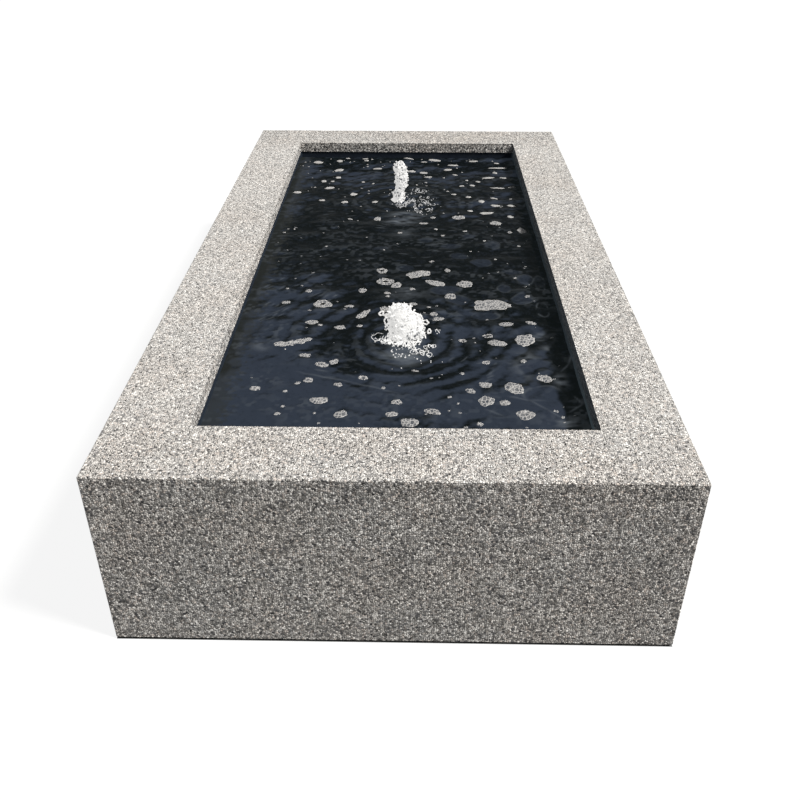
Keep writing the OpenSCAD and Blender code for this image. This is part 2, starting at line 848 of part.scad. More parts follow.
// Cup under the swivel ball
module nozzle_seat() {
    translate([0, nozzle_y, 0]) difference() {
        union() {
            rod_z(pipe_r, tee_top - socket_depth + 1, tee_top + past);
            rod_z(swivel_r + seat_wall, tee_top, swivel_z);
        }
        rod_z(swivel_r*0.55, tee_top - socket_depth, swivel_z);
        translate([0, 0, swivel_z]) sphere(swivel_r + run_gap);
    }
}

// Ring nut that holds the ball down in its cup
module nozzle_collar() {
    bottom = tee_top + 0.5;
    thread_r = swivel_r + seat_wall + glue_gap;
    top = swivel_z + swivel_r*0.84;
    translate([0, nozzle_y, 0]) difference() {
        union() {
            rod_z(thread_r + 3.5, bottom, top);
            for (i = [0 : 7])
                rotate([0, 0, i*45]) translate([thread_r + 3, 0, 0]) rod_z(1.8, bottom, top - 3);
        }
        rod_z(thread_r, bottom - past, swivel_z + move_gap);
        translate([0, 0, swivel_z]) sphere(swivel_r + run_gap);
        rod_z(swivel_r*0.8, swivel_z, top + past);
    }
}

// Foam nozzle: ball, neck, air sleeve and inner tube
module nozzle_head() {
    neck_top = 16;
    translate([0, nozzle_y, swivel_z]) difference() {
        union() {
            sphere(swivel_r);
            rod_z(swivel_r*0.5, 0, neck_top + past);
            rod_z(head_r, neck_top, head_l);
        }
        rod_z(head_r - 3.5, neck_top + 4, head_l + past);
        rod_z(3.5, -swivel_r - past, neck_top + 5);
        for (i = [0 : 5])
            rotate([0, 0, i*60]) translate([0, 0, neck_top + 9]) rod_x(2.5, head_r - 6, head_r + past);
    }
    translate([0, nozzle_y, swivel_z]) difference() {
        rod_z(6, neck_top + 3, head_l - 5);
        rod_z(3.5, neck_top, head_l);
    }
}

// Water thrown up by a nozzle, given by its outline above the water
module jet(outline) {
    foot = -water_skin - 2 - 5;
    translate([0, nozzle_y, water_z]) rotate_extrude()
        polygon(concat([[0, foot], [9, foot], [9, 2]], outline));
}

// Short burst that falls apart to all sides
module front_jet() color([0.93, 0.93, 0.92]) {
    r = front_jet_r;
    h = front_jet_h;
    to_front() jet([for (p = [[0.5, 0.13], [0.75, 0.2], [0.94, 0.32], [1, 0.46], [0.94, 0.6], [0.78, 0.72],
        [0.62, 0.82], [0.45, 0.92], [0.24, 0.98], [0, 1]]) [p[0]*r, p[1]*h]]);
}

// Taller and slimmer column
module rear_jet() color([0.93, 0.93, 0.92]) {
    r = rear_jet_r;
    h = rear_jet_h;
    jet([for (p = [[0.72, 0.08], [0.9, 0.14], [0.98, 0.22], [0.88, 0.34], [0.8, 0.44], [0.86, 0.56], [0.92, 0.66],
        [0.96, 0.76], [1, 0.84], [0.9, 0.92], [0.6, 0.98], [0, 1]]) [p[0]*r, p[1]*h]]);
}

grey = [0.36, 0.37, 0.39];
brass = [0.72, 0.58, 0.30];

stone_surround();
pool_liner();
rim_sealant();
deck_board();
frame_rails();
frame_bearers();
shell_brackets();
bracket_bolts();
base_pads();
cable_outlet_edging();
drain_fitting();
drain_gasket();
drain_nut();
drain_plug();
drain_plug_seal();
cable_gland_body();
cable_gland_seal();
cable_gland_locknut();
cable_gland_cap();
pump_housing();
pump_back_plate();
pump_stator();
pump_shaft();
pump_bushes();
pump_rotor();
pump_impeller();
pump_cover();
pump_cover_seal();
pump_cover_screws();
pump_cage();
flow_dial();
pump_feet();
outlet_adaptor();
centre_tee();
color(grey) to_front() pipe_inner();  // front_pipe_inner
color(grey) to_front() valve_body();  // front_valve_body
color("white") to_front() valve_seats();  // front_valve_seats
color("silver") to_front() valve_ball();  // front_valve_ball
color("firebrick") to_front() valve_lever();  // front_valve_lever
color(grey) to_front() pipe_outer();  // front_pipe_outer
color(grey) to_front() nozzle_tee();  // front_nozzle_tee
color("dimgray") to_front() nozzle_stand();  // front_nozzle_stand
color(brass) to_front() nozzle_seat();  // front_nozzle_seat
color(brass) to_front() nozzle_collar();  // front_nozzle_collar
color(brass) to_front() nozzle_head();  // front_nozzle_head
front_jet();
color(grey) pipe_inner();  // rear_pipe_inner
color(grey) valve_body();  // rear_valve_body
color("white") valve_seats();  // rear_valve_seats
color("silver") valve_ball();  // rear_valve_ball
color("firebrick") valve_lever();  // rear_valve_lever
color(grey) pipe_outer();  // rear_pipe_outer
color(grey) nozzle_tee();  // rear_nozzle_tee
color("dimgray") nozzle_stand();  // rear_nozzle_stand
color(brass) nozzle_seat();  // rear_nozzle_seat
color(brass) nozzle_collar();  // rear_nozzle_collar
color(brass) nozzle_head();  // rear_nozzle_head
rear_jet();
pool_water();
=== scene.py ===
"""Looks of the water table fountain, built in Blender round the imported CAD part.

The pieces come in the order in which the real fountain is put together: base, frame and deck,
stone surround, liner, drain and gland, pump, pipes and valves, nozzles, and last the water,
the two jets and the foam. Metres, +X to the right, -Y to the front, +Z up.
"""
import math
import random

import bmesh
import bpy
import numpy as np
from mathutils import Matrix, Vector, noise


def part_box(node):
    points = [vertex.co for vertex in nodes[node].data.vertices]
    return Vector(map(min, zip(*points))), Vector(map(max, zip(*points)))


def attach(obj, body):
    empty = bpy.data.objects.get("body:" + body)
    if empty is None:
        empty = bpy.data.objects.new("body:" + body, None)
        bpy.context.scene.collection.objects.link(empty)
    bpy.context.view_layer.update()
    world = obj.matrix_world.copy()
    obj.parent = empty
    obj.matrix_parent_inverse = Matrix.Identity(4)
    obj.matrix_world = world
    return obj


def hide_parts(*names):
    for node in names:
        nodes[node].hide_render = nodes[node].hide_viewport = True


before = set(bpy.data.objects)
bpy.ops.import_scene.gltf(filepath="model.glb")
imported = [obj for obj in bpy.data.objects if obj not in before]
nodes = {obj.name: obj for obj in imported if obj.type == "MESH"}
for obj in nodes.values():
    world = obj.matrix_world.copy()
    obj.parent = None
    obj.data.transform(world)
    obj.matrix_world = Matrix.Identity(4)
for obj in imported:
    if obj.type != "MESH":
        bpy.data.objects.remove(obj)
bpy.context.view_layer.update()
scene = bpy.context.scene
scene.view_settings.view_transform = "Standard"


# Viewpoint
# The photograph was taken from a standing height, 1.1 m before the front face and almost on the
# middle line, with a lens a little longer than a phone's.
viewpoint_lens = bpy.data.cameras.new("viewpoint")
viewpoint_lens.sensor_width = 36.0
viewpoint_lens.lens = 39.154
viewpoint = bpy.data.objects.new("viewpoint", viewpoint_lens)
viewpoint.location = (0.0333, -2.102, 1.2383)
viewpoint.rotation_euler = (math.radians(57.26), 0.0, math.radians(1.08))
scene.collection.objects.link(viewpoint)
scene.camera = viewpoint


# Light and floor
# A large soft lamp stands to the upper right and slightly in front, with a weak cool fill from
# all round. The floor and the background look white, but throw little light back.
def feed(tree, socket, value):
    """Links another node's output to this input, or gives the input a fixed value."""
    if isinstance(value, bpy.types.NodeSocket):
        tree.links.new(value, socket)
    else:
        socket.default_value = value


def set_inputs(tree, node, **settings):
    """Feeds a node's inputs by name, with _ for each space."""
    for name, value in settings.items():
        feed(tree, node.inputs[name.replace("_", " ")], value)


def add_node(tree, kind, **settings):
    """Adds a shader node. A setting is one of its properties or inputs: a value, or a socket to link."""
    node = tree.nodes.new("ShaderNode" + kind)
    for name, value in settings.items():
        socket = node.inputs.get(name.replace("_", " "))
        if socket is None:
            setattr(node, name, value)
        else:
            feed(tree, socket, value)
    return node


def calc(tree, operation, first, second=0.0, clamp=False):
    """Adds a Math node on two numbers or sockets and returns its result."""
    node = add_node(tree, "Math", operation=operation, use_clamp=clamp)
    feed(tree, node.inputs[0], first)
    feed(tree, node.inputs[1], second)
    return node.outputs[0]


def combined(tree, kind, first, second, **settings):
    """Adds or mixes two shaders."""
    node = add_node(tree, kind, **settings)
    for socket, shader in zip(list(node.inputs)[-2:], (first, second)):
        tree.links.new(shader.outputs[0], socket)
    return node


def seen_straight(tree):
    """1 where a ray comes from the camera, a reflection or through glass, and 0 where it only lights."""
    path = add_node(tree, "LightPath").outputs
    mirrored = calc(tree, "ADD", path["Is Glossy Ray"], path["Is Transmission Ray"])
    return calc(tree, "ADD", path["Is Camera Ray"], mirrored, clamp=True)


def own_place(tree):
    """The place on the piece that is being shaded, in metres."""
    return add_node(tree, "TexCoord").outputs["Object"]


def own_normal(tree):
    """The direction that the surface faces there."""
    return add_node(tree, "NewGeometry").outputs["Normal"]


def axis_of(tree, vector, axis):
    """One of a vector's three values."""
    return add_node(tree, "SeparateXYZ", Vector=vector).outputs[axis]


TO_LIGHT = Vector((0.583, -0.180, 0.792))
key_lamp = bpy.data.lights.new("key_light", "SUN")
key_lamp.energy = 5.3
key_lamp.angle = math.radians(10)
key_lamp.color = (1.0, 0.985, 0.96)
key_light = bpy.data.objects.new("key_light", key_lamp)
key_light.rotation_euler = TO_LIGHT.to_track_quat("Z", "Y").to_euler()
scene.collection.objects.link(key_light)

world = bpy.data.worlds.new("soft_room")
world.use_nodes = True
scene.world = world
sky = world.node_tree
sky.nodes.clear()
fill = add_node(sky, "Background", Color=(0.90, 0.94, 1.0, 1), Strength=0.12)
backdrop = add_node(sky, "Background", Color=(1, 1, 1, 1), Strength=1.0)
sky_mix = combined(sky, "MixShader", fill, backdrop, Fac=seen_straight(sky))
add_node(sky, "OutputWorld", Surface=sky_mix.outputs[0])

FLOOR_REACH = 30
floor_corners = [(x * FLOOR_REACH, y * FLOOR_REACH, 0) for x, y in ((-1, -1), (1, -1), (1, 1), (-1, 1))]
floor_mesh = bpy.data.meshes.new("floor")
floor_mesh.from_pydata(floor_corners, [], [(0, 1, 2, 3)])
floor = bpy.data.objects.new("floor", floor_mesh)
scene.collection.objects.link(floor)
floor_paint = bpy.data.materials.new("white_floor")
floor_paint.use_nodes = True
tree = floor_paint.node_tree
tree.nodes.clear()
grey = add_node(tree, "BsdfDiffuse", Color=(0.13, 0.13, 0.13, 1))
pale = add_node(tree, "BsdfDiffuse", Color=(0.12, 0.12, 0.12, 1))
glow = add_node(tree, "Emission", Color=(1, 1, 1, 1), Strength=0.9)
white = combined(tree, "AddShader", pale, glow)

# Painted shadow: under the block the floor is dark grey without glow, so the thin gap below the skirt stays
# dark
foot_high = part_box("stone_surround")[1]
under = 1.0
for axis, reach in (("X", foot_high.x), ("Y", foot_high.y)):
    from_middle = calc(tree, "ABSOLUTE", axis_of(tree, own_place(tree), axis))
    under = calc(tree, "MULTIPLY", under, calc(tree, "LESS_THAN", from_middle, reach))
looks_white = calc(tree, "MULTIPLY", calc(tree, "SUBTRACT", 1.0, under), seen_straight(tree))
floor_mix = combined(tree, "MixShader", grey, white, Fac=looks_white)
add_node(tree, "OutputMaterial", Surface=floor_mix.outputs[0])
floor_mesh.materials.append(floor_paint)


# Base pads and cable edging
# Strips of black rubber under the rails keep the steel off the paving, and a rubber edging lines
# the notch through which the pump's lead leaves. Both are cut from sheet and glued on.
def mixed(tree, amount, first, second, kind="MIX"):
    """Mixes two colours by an amount. The node's inputs 6 and 7 and its output 2 are the colours."""
    node = add_node(tree, "Mix", data_type="RGBA", blend_type=kind)
    for number, value in ((0, amount), (6, first), (7, second)):
        feed(tree, node.inputs[number], value)
    return node.outputs[2]


def spread(tree, value, low, high, to_low=0.0, to_high=1.0):
    """Stretches a value's range from low..high to another one, and holds it there."""
    return add_node(tree, "MapRange", Value=value, From_Min=low, From_Max=high, To_Min=to_low,
                    To_Max=to_high).outputs[0]


def cloudy(tree, spot, scale, detail=2.0):
    """Soft random noise with about this many clouds to the metre."""
    return add_node(tree, "TexNoise", Vector=spot, Scale=scale, Detail=detail).outputs[0]


def bumped(tree, height, strength, distance, **settings):
    """The direction that the surface faces once a height has bent it."""
    node = add_node(tree, "Bump", Height=height, Strength=strength, Distance=distance, **settings)
    return node.outputs[0]


def vector_calc(tree, operation, *vectors):
    """Adds a Vector Math node and returns its results."""
    node = add_node(tree, "VectorMath", operation=operation)
    for socket, vector in zip(node.inputs, vectors):
        feed(tree, socket, vector)
    return node.outputs


def start_group(name, inputs, outputs):
    """A shader node group with named sockets. Inputs are (name, kind, default)."""
    group = bpy.data.node_groups.new(name, "ShaderNodeTree")
    new_socket = group.interface.new_socket
    for socket_name, kind, default in inputs:
        socket = new_socket(name=socket_name, in_out="INPUT", socket_type="NodeSocket" + kind)
        socket.default_value = default
    for socket_name, kind in outputs:
        new_socket(name=socket_name, in_out="OUTPUT", socket_type="NodeSocket" + kind)
    return group, group.nodes.new("NodeGroupInput").outputs, group.nodes.new("NodeGroupOutput").inputs


def use_group(tree, group, **settings):
    """Places a group in a material, with this material's own values."""
    node = add_node(tree, "Group", node_tree=group)
    set_inputs(tree, node, **settings)
    return node.outputs


def new_finish(name):
    """A material, its node tree and its Principled shader."""
    material = bpy.data.materials.new(name)
    material.use_nodes = True
    return material, material.node_tree, material.node_tree.nodes["Principled BSDF"]


def coat(material, *names):
    """Gives the named CAD pieces this finish."""
    for name in names:
        mesh = nodes[name].data
        mesh.materials.clear()
        mesh.materials.append(material)


# Fine grain: slow mottling with a small grain over it, as a colour and as a height
grain_group, given, result = start_group(
    "fine_grain",
    [("Colour", "Color", (0.5, 0.5, 0.5, 1)), ("Second Colour", "Color", (0.4, 0.4, 0.4, 1)),
     ("Scale", "Float", 200.0), ("Mottle", "Float", 8.0)],
    [("Colour", "Color"), ("Height", "Float")])
tree = grain_group
mottle_part = calc(tree, "MULTIPLY", cloudy(tree, own_place(tree), given["Mottle"], 4.0), 0.6)
grains = cloudy(tree, own_place(tree), given["Scale"])
both = calc(tree, "ADD", mottle_part, calc(tree, "MULTIPLY", grains, 0.4))
share = spread(tree, both, 0.36, 0.64)
feed(tree, result["Colour"], mixed(tree, share, given["Colour"], given["Second Colour"]))
feed(tree, result["Height"], grains)

# Worn edges: 1 along convex edges, broken up by noise, and 0 on the faces
wear_group, given, result = start_group(
    "worn_edges", [("Width", "Float", 0.001), ("Breakup", "Float", 120.0)], [("Mask", "Float")])
tree = wear_group
rounded = add_node(tree, "Bevel", Radius=given["Width"]).outputs[0]
edge = spread(tree, vector_calc(tree, "DOT_PRODUCT", rounded, own_normal(tree))["Value"], 0.99, 0.90)
patches = spread(tree, cloudy(tree, own_place(tree), given["Breakup"], 3.0), 0.4, 0.6)
feed(tree, result["Mask"], calc(tree, "MULTIPLY", edge, patches))

# Settled film: silt and lime on faces that look up, thicker in patches
film_group, given, result = start_group("settled_film", [("Amount", "Float", 0.3)], [("Mask", "Float")])
tree = film_group
top = spread(tree, axis_of(tree, own_normal(tree), "Z"), 0.2, 0.9)
patches = spread(tree, cloudy(tree, own_place(tree), 45.0, 5.0), 0.35, 0.7)
feed(tree, result["Mask"], calc(tree, "MULTIPLY", calc(tree, "MULTIPLY", top, patches), given["Amount"]))


def made_finish(name, colour, second, scale=260.0, mottle=9.0, rough=(0.4, 0.6), metal=0.0, relief=0.0002,
                wear=None, wear_width=0.0012, film=0.0, film_colour=(0.30, 0.31, 0.27)):
    """A moulded, rolled or cast finish: grain, worn edges in the wear colour, and a settled film."""
    material, tree, shader = new_finish(name)
    grain = use_group(tree, grain_group, Colour=(*colour, 1), Second_Colour=(*second, 1), Scale=scale,
                      Mottle=mottle)
    paint = grain["Colour"]
    gloss = spread(tree, grain["Height"], 0.35, 0.65, *rough)
    if wear:
        paint = mixed(tree, use_group(tree, wear_group, Width=wear_width)["Mask"], paint, (*wear, 1))
    if film:
        silt = use_group(tree, film_group, Amount=film)["Mask"]
        paint = mixed(tree, silt, paint, (*film_colour, 1))
        gloss = calc(tree, "MAXIMUM", gloss, calc(tree, "MULTIPLY", silt, 0.9))
    set_inputs(tree, shader, Base_Color=paint, Roughness=gloss, Metallic=metal,
               Normal=bumped(tree, grain["Height"], 0.6, relief))
    return material


black_rubber = made_finish("black_rubber", (0.022, 0.022, 0.023), (0.035, 0.034, 0.033), scale=420,
                           rough=(0.62, 0.8), relief=0.0003, wear=(0.075, 0.073, 0.07))
coat(black_rubber, "base_pads", "cable_outlet_edging")


# Rails and bearers
# Two long rails and five cross bearers of square steel tube, hot-dip galvanised, so the zinc
# shows its spangle: flat crystals a few millimetres across, some brighter than others.
galvanised, tree, shader = new_finish("galvanised_steel")
crystals = add_node(tree, "TexVoronoi", Vector=own_place(tree), Scale=95.0, Randomness=1.0)
crystal_tone = axis_of(tree, crystals.outputs["Color"], "X")
zinc = mixed(tree, crystal_tone, (0.36, 0.37, 0.38, 1), (0.58, 0.59, 0.60, 1))
grain = use_group(tree, grain_group, Colour=(0.9, 0.9, 0.9, 1), Second_Colour=(0.7, 0.71, 0.72, 1),
                  Scale=500.0)
zinc = mixed(tree, 1.0, zinc, grain["Colour"], "MULTIPLY")
worn = use_group(tree, wear_group, Width=0.0015)["Mask"]
zinc = mixed(tree, calc(tree, "MULTIPLY", worn, 0.5), zinc, (0.72, 0.72, 0.72, 1))
set_inputs(tree, shader, Base_Color=zinc, Roughness=spread(tree, crystal_tone, 0.0, 1.0, 0.34, 0.58),
           Metallic=0.9, Normal=bumped(tree, crystal_tone, 0.4, 0.0002))
coat(galvanised, "frame_rails", "frame_bearers", "shell_brackets")


# Bracket bolts and pump screws
# Turned stainless fasteners, brushed by the die and a little bright on the heads' rims.
stainless = made_finish("stainless_steel", (0.50, 0.50, 0.51), (0.60, 0.60, 0.61), scale=700,
                        rough=(0.24, 0.42), metal=1.0, relief=0.00008, wear=(0.8, 0.8, 0.8),
                        wear_width=0.0006)
coat(stainless, "bracket_bolts", "pump_cover_screws")


# Deck board
# Film-faced birch plywood, 18 mm, dark brown on its faces with pale plies along its edges.
PLY_PAIR = 0.0028
FIBRE_STRETCH = (6.0, 90.0, 400.0)
film_faced, tree, shader = new_finish("film_faced_plywood")
height = axis_of(tree, own_place(tree), "Z")
ply_bands = calc(tree, "SINE", calc(tree, "MULTIPLY", height, 2 * math.pi / PLY_PAIR))
fibres = cloudy(tree, vector_calc(tree, "MULTIPLY", own_place(tree), FIBRE_STRETCH)[0], 1.0, 6.0)
plies = mixed(tree, spread(tree, ply_bands, -0.4, 0.4), (0.30, 0.19, 0.10, 1), (0.55, 0.40, 0.24, 1))
plies = mixed(tree, spread(tree, fibres, 0.35, 0.65), plies, (0.62, 0.48, 0.30, 1))
on_face = spread(tree, calc(tree, "ABSOLUTE", axis_of(tree, own_normal(tree), "Z")), 0.7, 0.9)
facing_film = use_group(tree, grain_group, Colour=(0.045, 0.026, 0.016, 1),
                        Second_Colour=(0.075, 0.045, 0.028, 1), Scale=340.0, Mottle=14.0)
set_inputs(tree, shader, Base_Color=mixed(tree, on_face, plies, facing_film["Colour"]),
           Roughness=spread(tree, on_face, 0.0, 1.0, 0.78, 0.42), Normal=bumped(tree, fibres, 0.5, 0.0004))
coat(film_faced, "deck_board")


# Stone surround
# One casting of washed aggregate concrete: cream, grey, pinkish and black chips of about 4 mm lie
# close together in a cement darkened with painted shade, stand a little proud of it, and catch the light
# one by one.
CHIP = 0.0039
SMALL_CHIP = CHIP / 2.1
CHIP_TILT = 1.3
WHOLE_SHARE = 0.82
CEMENT_AND_GAP_SHADE = (0.16, 0.152, 0.142, 1)
CHIP_COLOURS = [(0.0, (0.92, 0.885, 0.83)), (0.22, (0.74, 0.71, 0.67)), (0.38, (0.96, 0.935, 0.89)),
                (0.56, (0.64, 0.58, 0.53)), (0.66, (0.42, 0.41, 0.405)), (0.74, (0.68, 0.66, 0.63)),
                (0.84, (0.12, 0.12, 0.125)), (0.91, (0.24, 0.235, 0.23)), (0.965, (0.05, 0.05, 0.055))]


def chip_colours(tree, amount):
    """The chips' colours, each for its share of the chips."""
    shades = add_node(tree, "ValToRGB", Fac=amount)
    shades.color_ramp.interpolation = "CONSTANT"
    stops = shades.color_ramp.elements
    for position, colour in CHIP_COLOURS[2:]:
        stops.new(position)
    for stop, (position, colour) in zip(stops, CHIP_COLOURS):
        stop.position = position
        stop.color = (*colour, 1)
    return shades.outputs["Color"]


stone, tree, shader = new_finish("washed_aggregate")
spot = own_place(tree)
chips = add_node(tree, "TexVoronoi", Vector=spot, Scale=1 / CHIP, Randomness=1.0)
chip_edge = add_node(tree, "TexVoronoi", feature="DISTANCE_TO_EDGE", Vector=spot, Scale=1 / CHIP,
                     Randomness=1.0).outputs["Distance"]
small_chips = add_node(tree, "TexVoronoi", Vector=spot, Scale=1 / SMALL_CHIP, Randomness=1.0)
big = chip_colours(tree, axis_of(tree, chips.outputs["Color"], "X"))
small = chip_colours(tree, axis_of(tree, small_chips.outputs["Color"], "X"))
broken_up = calc(tree, "GREATER_THAN", axis_of(tree, chips.outputs["Color"], "Y"), WHOLE_SHARE)
speckle = mixed(tree, broken_up, big, small)
# The dark between the chips is partly the cement's own grey and partly painted shade in the gaps
speckle = mixed(tree, spread(tree, chip_edge, 0.02, 0.12), CEMENT_AND_GAP_SHADE, speckle)

# Slow drifts of warmer and greyer stone
warmer = spread(tree, cloudy(tree, spot, 5.0, 3.0), 0.40, 0.62, 0.0, 0.30)
greyer = spread(tree, cloudy(tree, spot, 30.0), 0.48, 0.68, 0.0, 0.16)
speckle = mixed(tree, warmer, speckle, (0.93, 0.85, 0.79, 1), "MULTIPLY")
speckle = mixed(tree, greyer, speckle, (0.72, 0.74, 0.78, 1), "MULTIPLY")

# The rim's top is painted paler and more even than the sides, partly as rubbed wear and partly as painted
# light; less at the near end, not at the far one
lengthwise = axis_of(tree, spot, "Y")
rubbed_and_lit = calc(tree, "MULTIPLY", spread(tree, lengthwise, -0.90, -0.80, 0.07, 0.16),
              spread(tree, lengthwise, 0.80, 0.90, 1.0, 0.0))
looks_up = spread(tree, axis_of(tree, own_normal(tree), "Z"), 0.7, 0.9)
speckle = mixed(tree, calc(tree, "MULTIPLY", looks_up, rubbed_and_lit), speckle, (0.90, 0.87, 0.83, 1))

# Painted shade: the lip's right inner side, which faces away from the lamp, is painted dark and bluish
looks_left = calc(tree, "LESS_THAN", axis_of(tree, own_normal(tree), "X"), -0.5)
painted_lip_shade = calc(tree, "MULTIPLY", looks_left, calc(tree, "GREATER_THAN", axis_of(tree, spot, "X"), 0.0))
shaded_speckle = mixed(tree, 1.0, speckle, (0.50, 0.56, 0.62, 1), "MULTIPLY")
speckle = mixed(tree, painted_lip_shade, speckle, mixed(tree, 0.62, shaded_speckle, (0.165, 0.195, 0.215, 1)))

# Each chip is cut at its own tilt, and its edges are rounded down into the cement
tilt = vector_calc(tree, "MULTIPLY_ADD", chips.outputs["Color"], [CHIP_TILT] * 3, [-CHIP_TILT / 2] * 3)[0]
facet = vector_calc(tree, "NORMALIZE", vector_calc(tree, "ADD", own_normal(tree), tilt)[0])[0]
chip_round = bumped(tree, spread(tree, chip_edge, 0.0, 0.30), 1.0, 0.0008, Normal=facet)
set_inputs(tree, shader, Base_Color=speckle, Roughness=0.82, Specular_IOR_Level=0.25, Normal=chip_round)
coat(stone, "stone_surround")


# Liner and sealant
# The tub is moulded in navy gelcoat over glass fibre, with a faint line of lime where the water
# stands. A bead of dark sealant closes the joint between its flange and the stone lip.
liner_gelcoat = made_finish("liner_gelcoat", (0.016, 0.021, 0.032), (0.022, 0.030, 0.042), scale=300,
                            mottle=12, rough=(0.28, 0.45), relief=0.0001, film=0.35,
                            film_colour=(0.05, 0.055, 0.052))

# Painted reflection: the shaded right wall glows faintly as if mirroring sky, most of it near the front
tree = liner_gelcoat.node_tree
looks_left = calc(tree, "LESS_THAN", axis_of(tree, own_normal(tree), "X"), -0.5)
near_front = spread(tree, axis_of(tree, own_place(tree), "Y"), -0.35, -0.75, 0.4, 1.0)
painted_sky_reflection = calc(tree, "MULTIPLY", looks_left, near_front)
mirrored = mixed(tree, painted_sky_reflection, (0, 0, 0, 1), (0.024, 0.032, 0.036, 1))
set_inputs(tree, tree.nodes["Principled BSDF"], Specular_IOR_Level=0.18, Emission_Color=mirrored,
           Emission_Strength=1.0)
coat(liner_gelcoat, "pool_liner")
sealant = made_finish("dark_sealant", (0.020, 0.021, 0.023), (0.032, 0.033, 0.034), scale=180,
                      rough=(0.45, 0.6), relief=0.0004)
coat(sealant, "rim_sealant")


# Drain and cable gland
# Black nylon fittings, moulded with a slight satin grain, and soft rubber rings between them and
# the tub. The plug is pulled by its knob, and its ring seal sits in a groove.
black_nylon = made_finish("black_nylon", (0.024, 0.024, 0.026), (0.036, 0.036, 0.038), scale=520,
                          rough=(0.36, 0.52), relief=0.00015, wear=(0.11, 0.11, 0.11), film=0.4)
coat(black_nylon, "drain_fitting", "drain_nut", "drain_plug", "cable_gland_body", "cable_gland_locknut",
     "cable_gland_cap")
coat(black_rubber, "drain_gasket", "drain_plug_seal", "cable_gland_seal", "pump_cover_seal")


# Pump
# A submersible magnet-driven pump: a dark grey plastic casing with the stator cast inside it, a
# magnet rotor with its impeller on a ceramic shaft, and a slotted strainer with a flow dial.
pump_plastic = made_finish("pump_plastic", (0.040, 0.042, 0.045), (0.060, 0.062, 0.065), scale=600,
                           rough=(0.38, 0.55), relief=0.00018, wear=(0.15, 0.15, 0.15), film=0.45)
coat(pump_plastic, "pump_housing", "pump_back_plate", "pump_cover", "pump_cage", "pump_feet")
stator_resin = made_finish("stator_resin", (0.20, 0.085, 0.035), (0.33, 0.15, 0.06), scale=220, mottle=60,
                           rough=(0.25, 0.4), metal=0.6, relief=0.0005)
coat(stator_resin, "pump_stator")
ceramic = made_finish("white_ceramic", (0.78, 0.77, 0.73), (0.86, 0.85, 0.82), scale=800, rough=(0.12, 0.2),
                      relief=0.00003)
coat(ceramic, "pump_shaft", "pump_bushes")
magnet = made_finish("bonded_magnet", (0.030, 0.030, 0.033), (0.055, 0.055, 0.06), scale=900,
                     rough=(0.45, 0.6), metal=0.3, relief=0.0001, wear=(0.16, 0.16, 0.17))
coat(magnet, "pump_rotor")
impeller_plastic = made_finish("impeller_plastic", (0.025, 0.09, 0.23), (0.035, 0.12, 0.28), scale=500,
                               rough=(0.35, 0.5), relief=0.0001)
coat(impeller_plastic, "pump_impeller")
dial_plastic = made_finish("dial_plastic", (0.70, 0.31, 0.03), (0.80, 0.38, 0.05), scale=480,
                           rough=(0.35, 0.5), relief=0.00015, wear=(0.85, 0.52, 0.2), film=0.3)
coat(dial_plastic, "flow_dial")


# Pipes and fittings
# Grey solvent-weld pipe, 25 mm, between glossier grey moulded tees and sockets.
pipe_plastic = made_finish("grey_pipe", (0.20, 0.21, 0.215), (0.25, 0.26, 0.265), scale=350,
                           rough=(0.38, 0.5), relief=0.0001, wear=(0.42, 0.43, 0.43), film=0.5)
coat(pipe_plastic, *[f"{end}_pipe_{part}" for end in ("front", "rear") for part in ("inner", "outer")])
fitting_plastic = made_finish("grey_fitting", (0.13, 0.135, 0.14), (0.17, 0.175, 0.18), scale=450,
                              rough=(0.3, 0.44), relief=0.00012, wear=(0.34, 0.35, 0.35), film=0.5)
coat(fitting_plastic, "outlet_adaptor", "centre_tee", "front_nozzle_tee", "rear_nozzle_tee",
     "front_valve_body", "rear_valve_body")


# Valves
# In each body a chromed ball turns between two white PTFE seats, on the red lever's stem.
chrome = made_finish("polished_chrome", (0.62, 0.63, 0.64), (0.70, 0.70, 0.71), scale=900,
                     rough=(0.06, 0.14), metal=1.0, relief=0.00002)
white_ptfe = made_finish("white_ptfe", (0.80, 0.80, 0.78), (0.87, 0.87, 0.85), scale=400, rough=(0.45, 0.6),
                         relief=0.0001)
lever_paint = made_finish("lever_paint", (0.42, 0.030, 0.022), (0.50, 0.045, 0.03), scale=380,
                          rough=(0.3, 0.45), relief=0.0001, wear=(0.45, 0.42, 0.4), film=0.35)
for end in ("front", "rear"):
    coat(chrome, f"{end}_valve_ball")
    coat(white_ptfe, f"{end}_valve_seats")
    coat(lever_paint, f"{end}_valve_lever")


# Nozzles
# Cast iron stands, painted black, carry each nozzle tee. Above it a turned brass foam head leans
# in a ball seat under its collar, and has dulled to brown in the water.
stand_paint = made_finish("painted_iron", (0.020, 0.021, 0.023), (0.034, 0.034, 0.035), scale=160,
                          mottle=30, rough=(0.45, 0.65), relief=0.0006, wear=(0.16, 0.085, 0.045), film=0.4)
aged_brass = made_finish("aged_brass", (0.40, 0.25, 0.09), (0.27, 0.18, 0.075), scale=300, mottle=26,
                         rough=(0.26, 0.46), metal=1.0, relief=0.00015, wear=(0.80, 0.60, 0.28), film=0.3,
                         film_colour=(0.16, 0.24, 0.18))
for end in ("front", "rear"):
    coat(stand_paint, f"{end}_nozzle_stand")
    coat(aged_brass, f"{end}_nozzle_seat", f"{end}_nozzle_collar", f"{end}_nozzle_head")


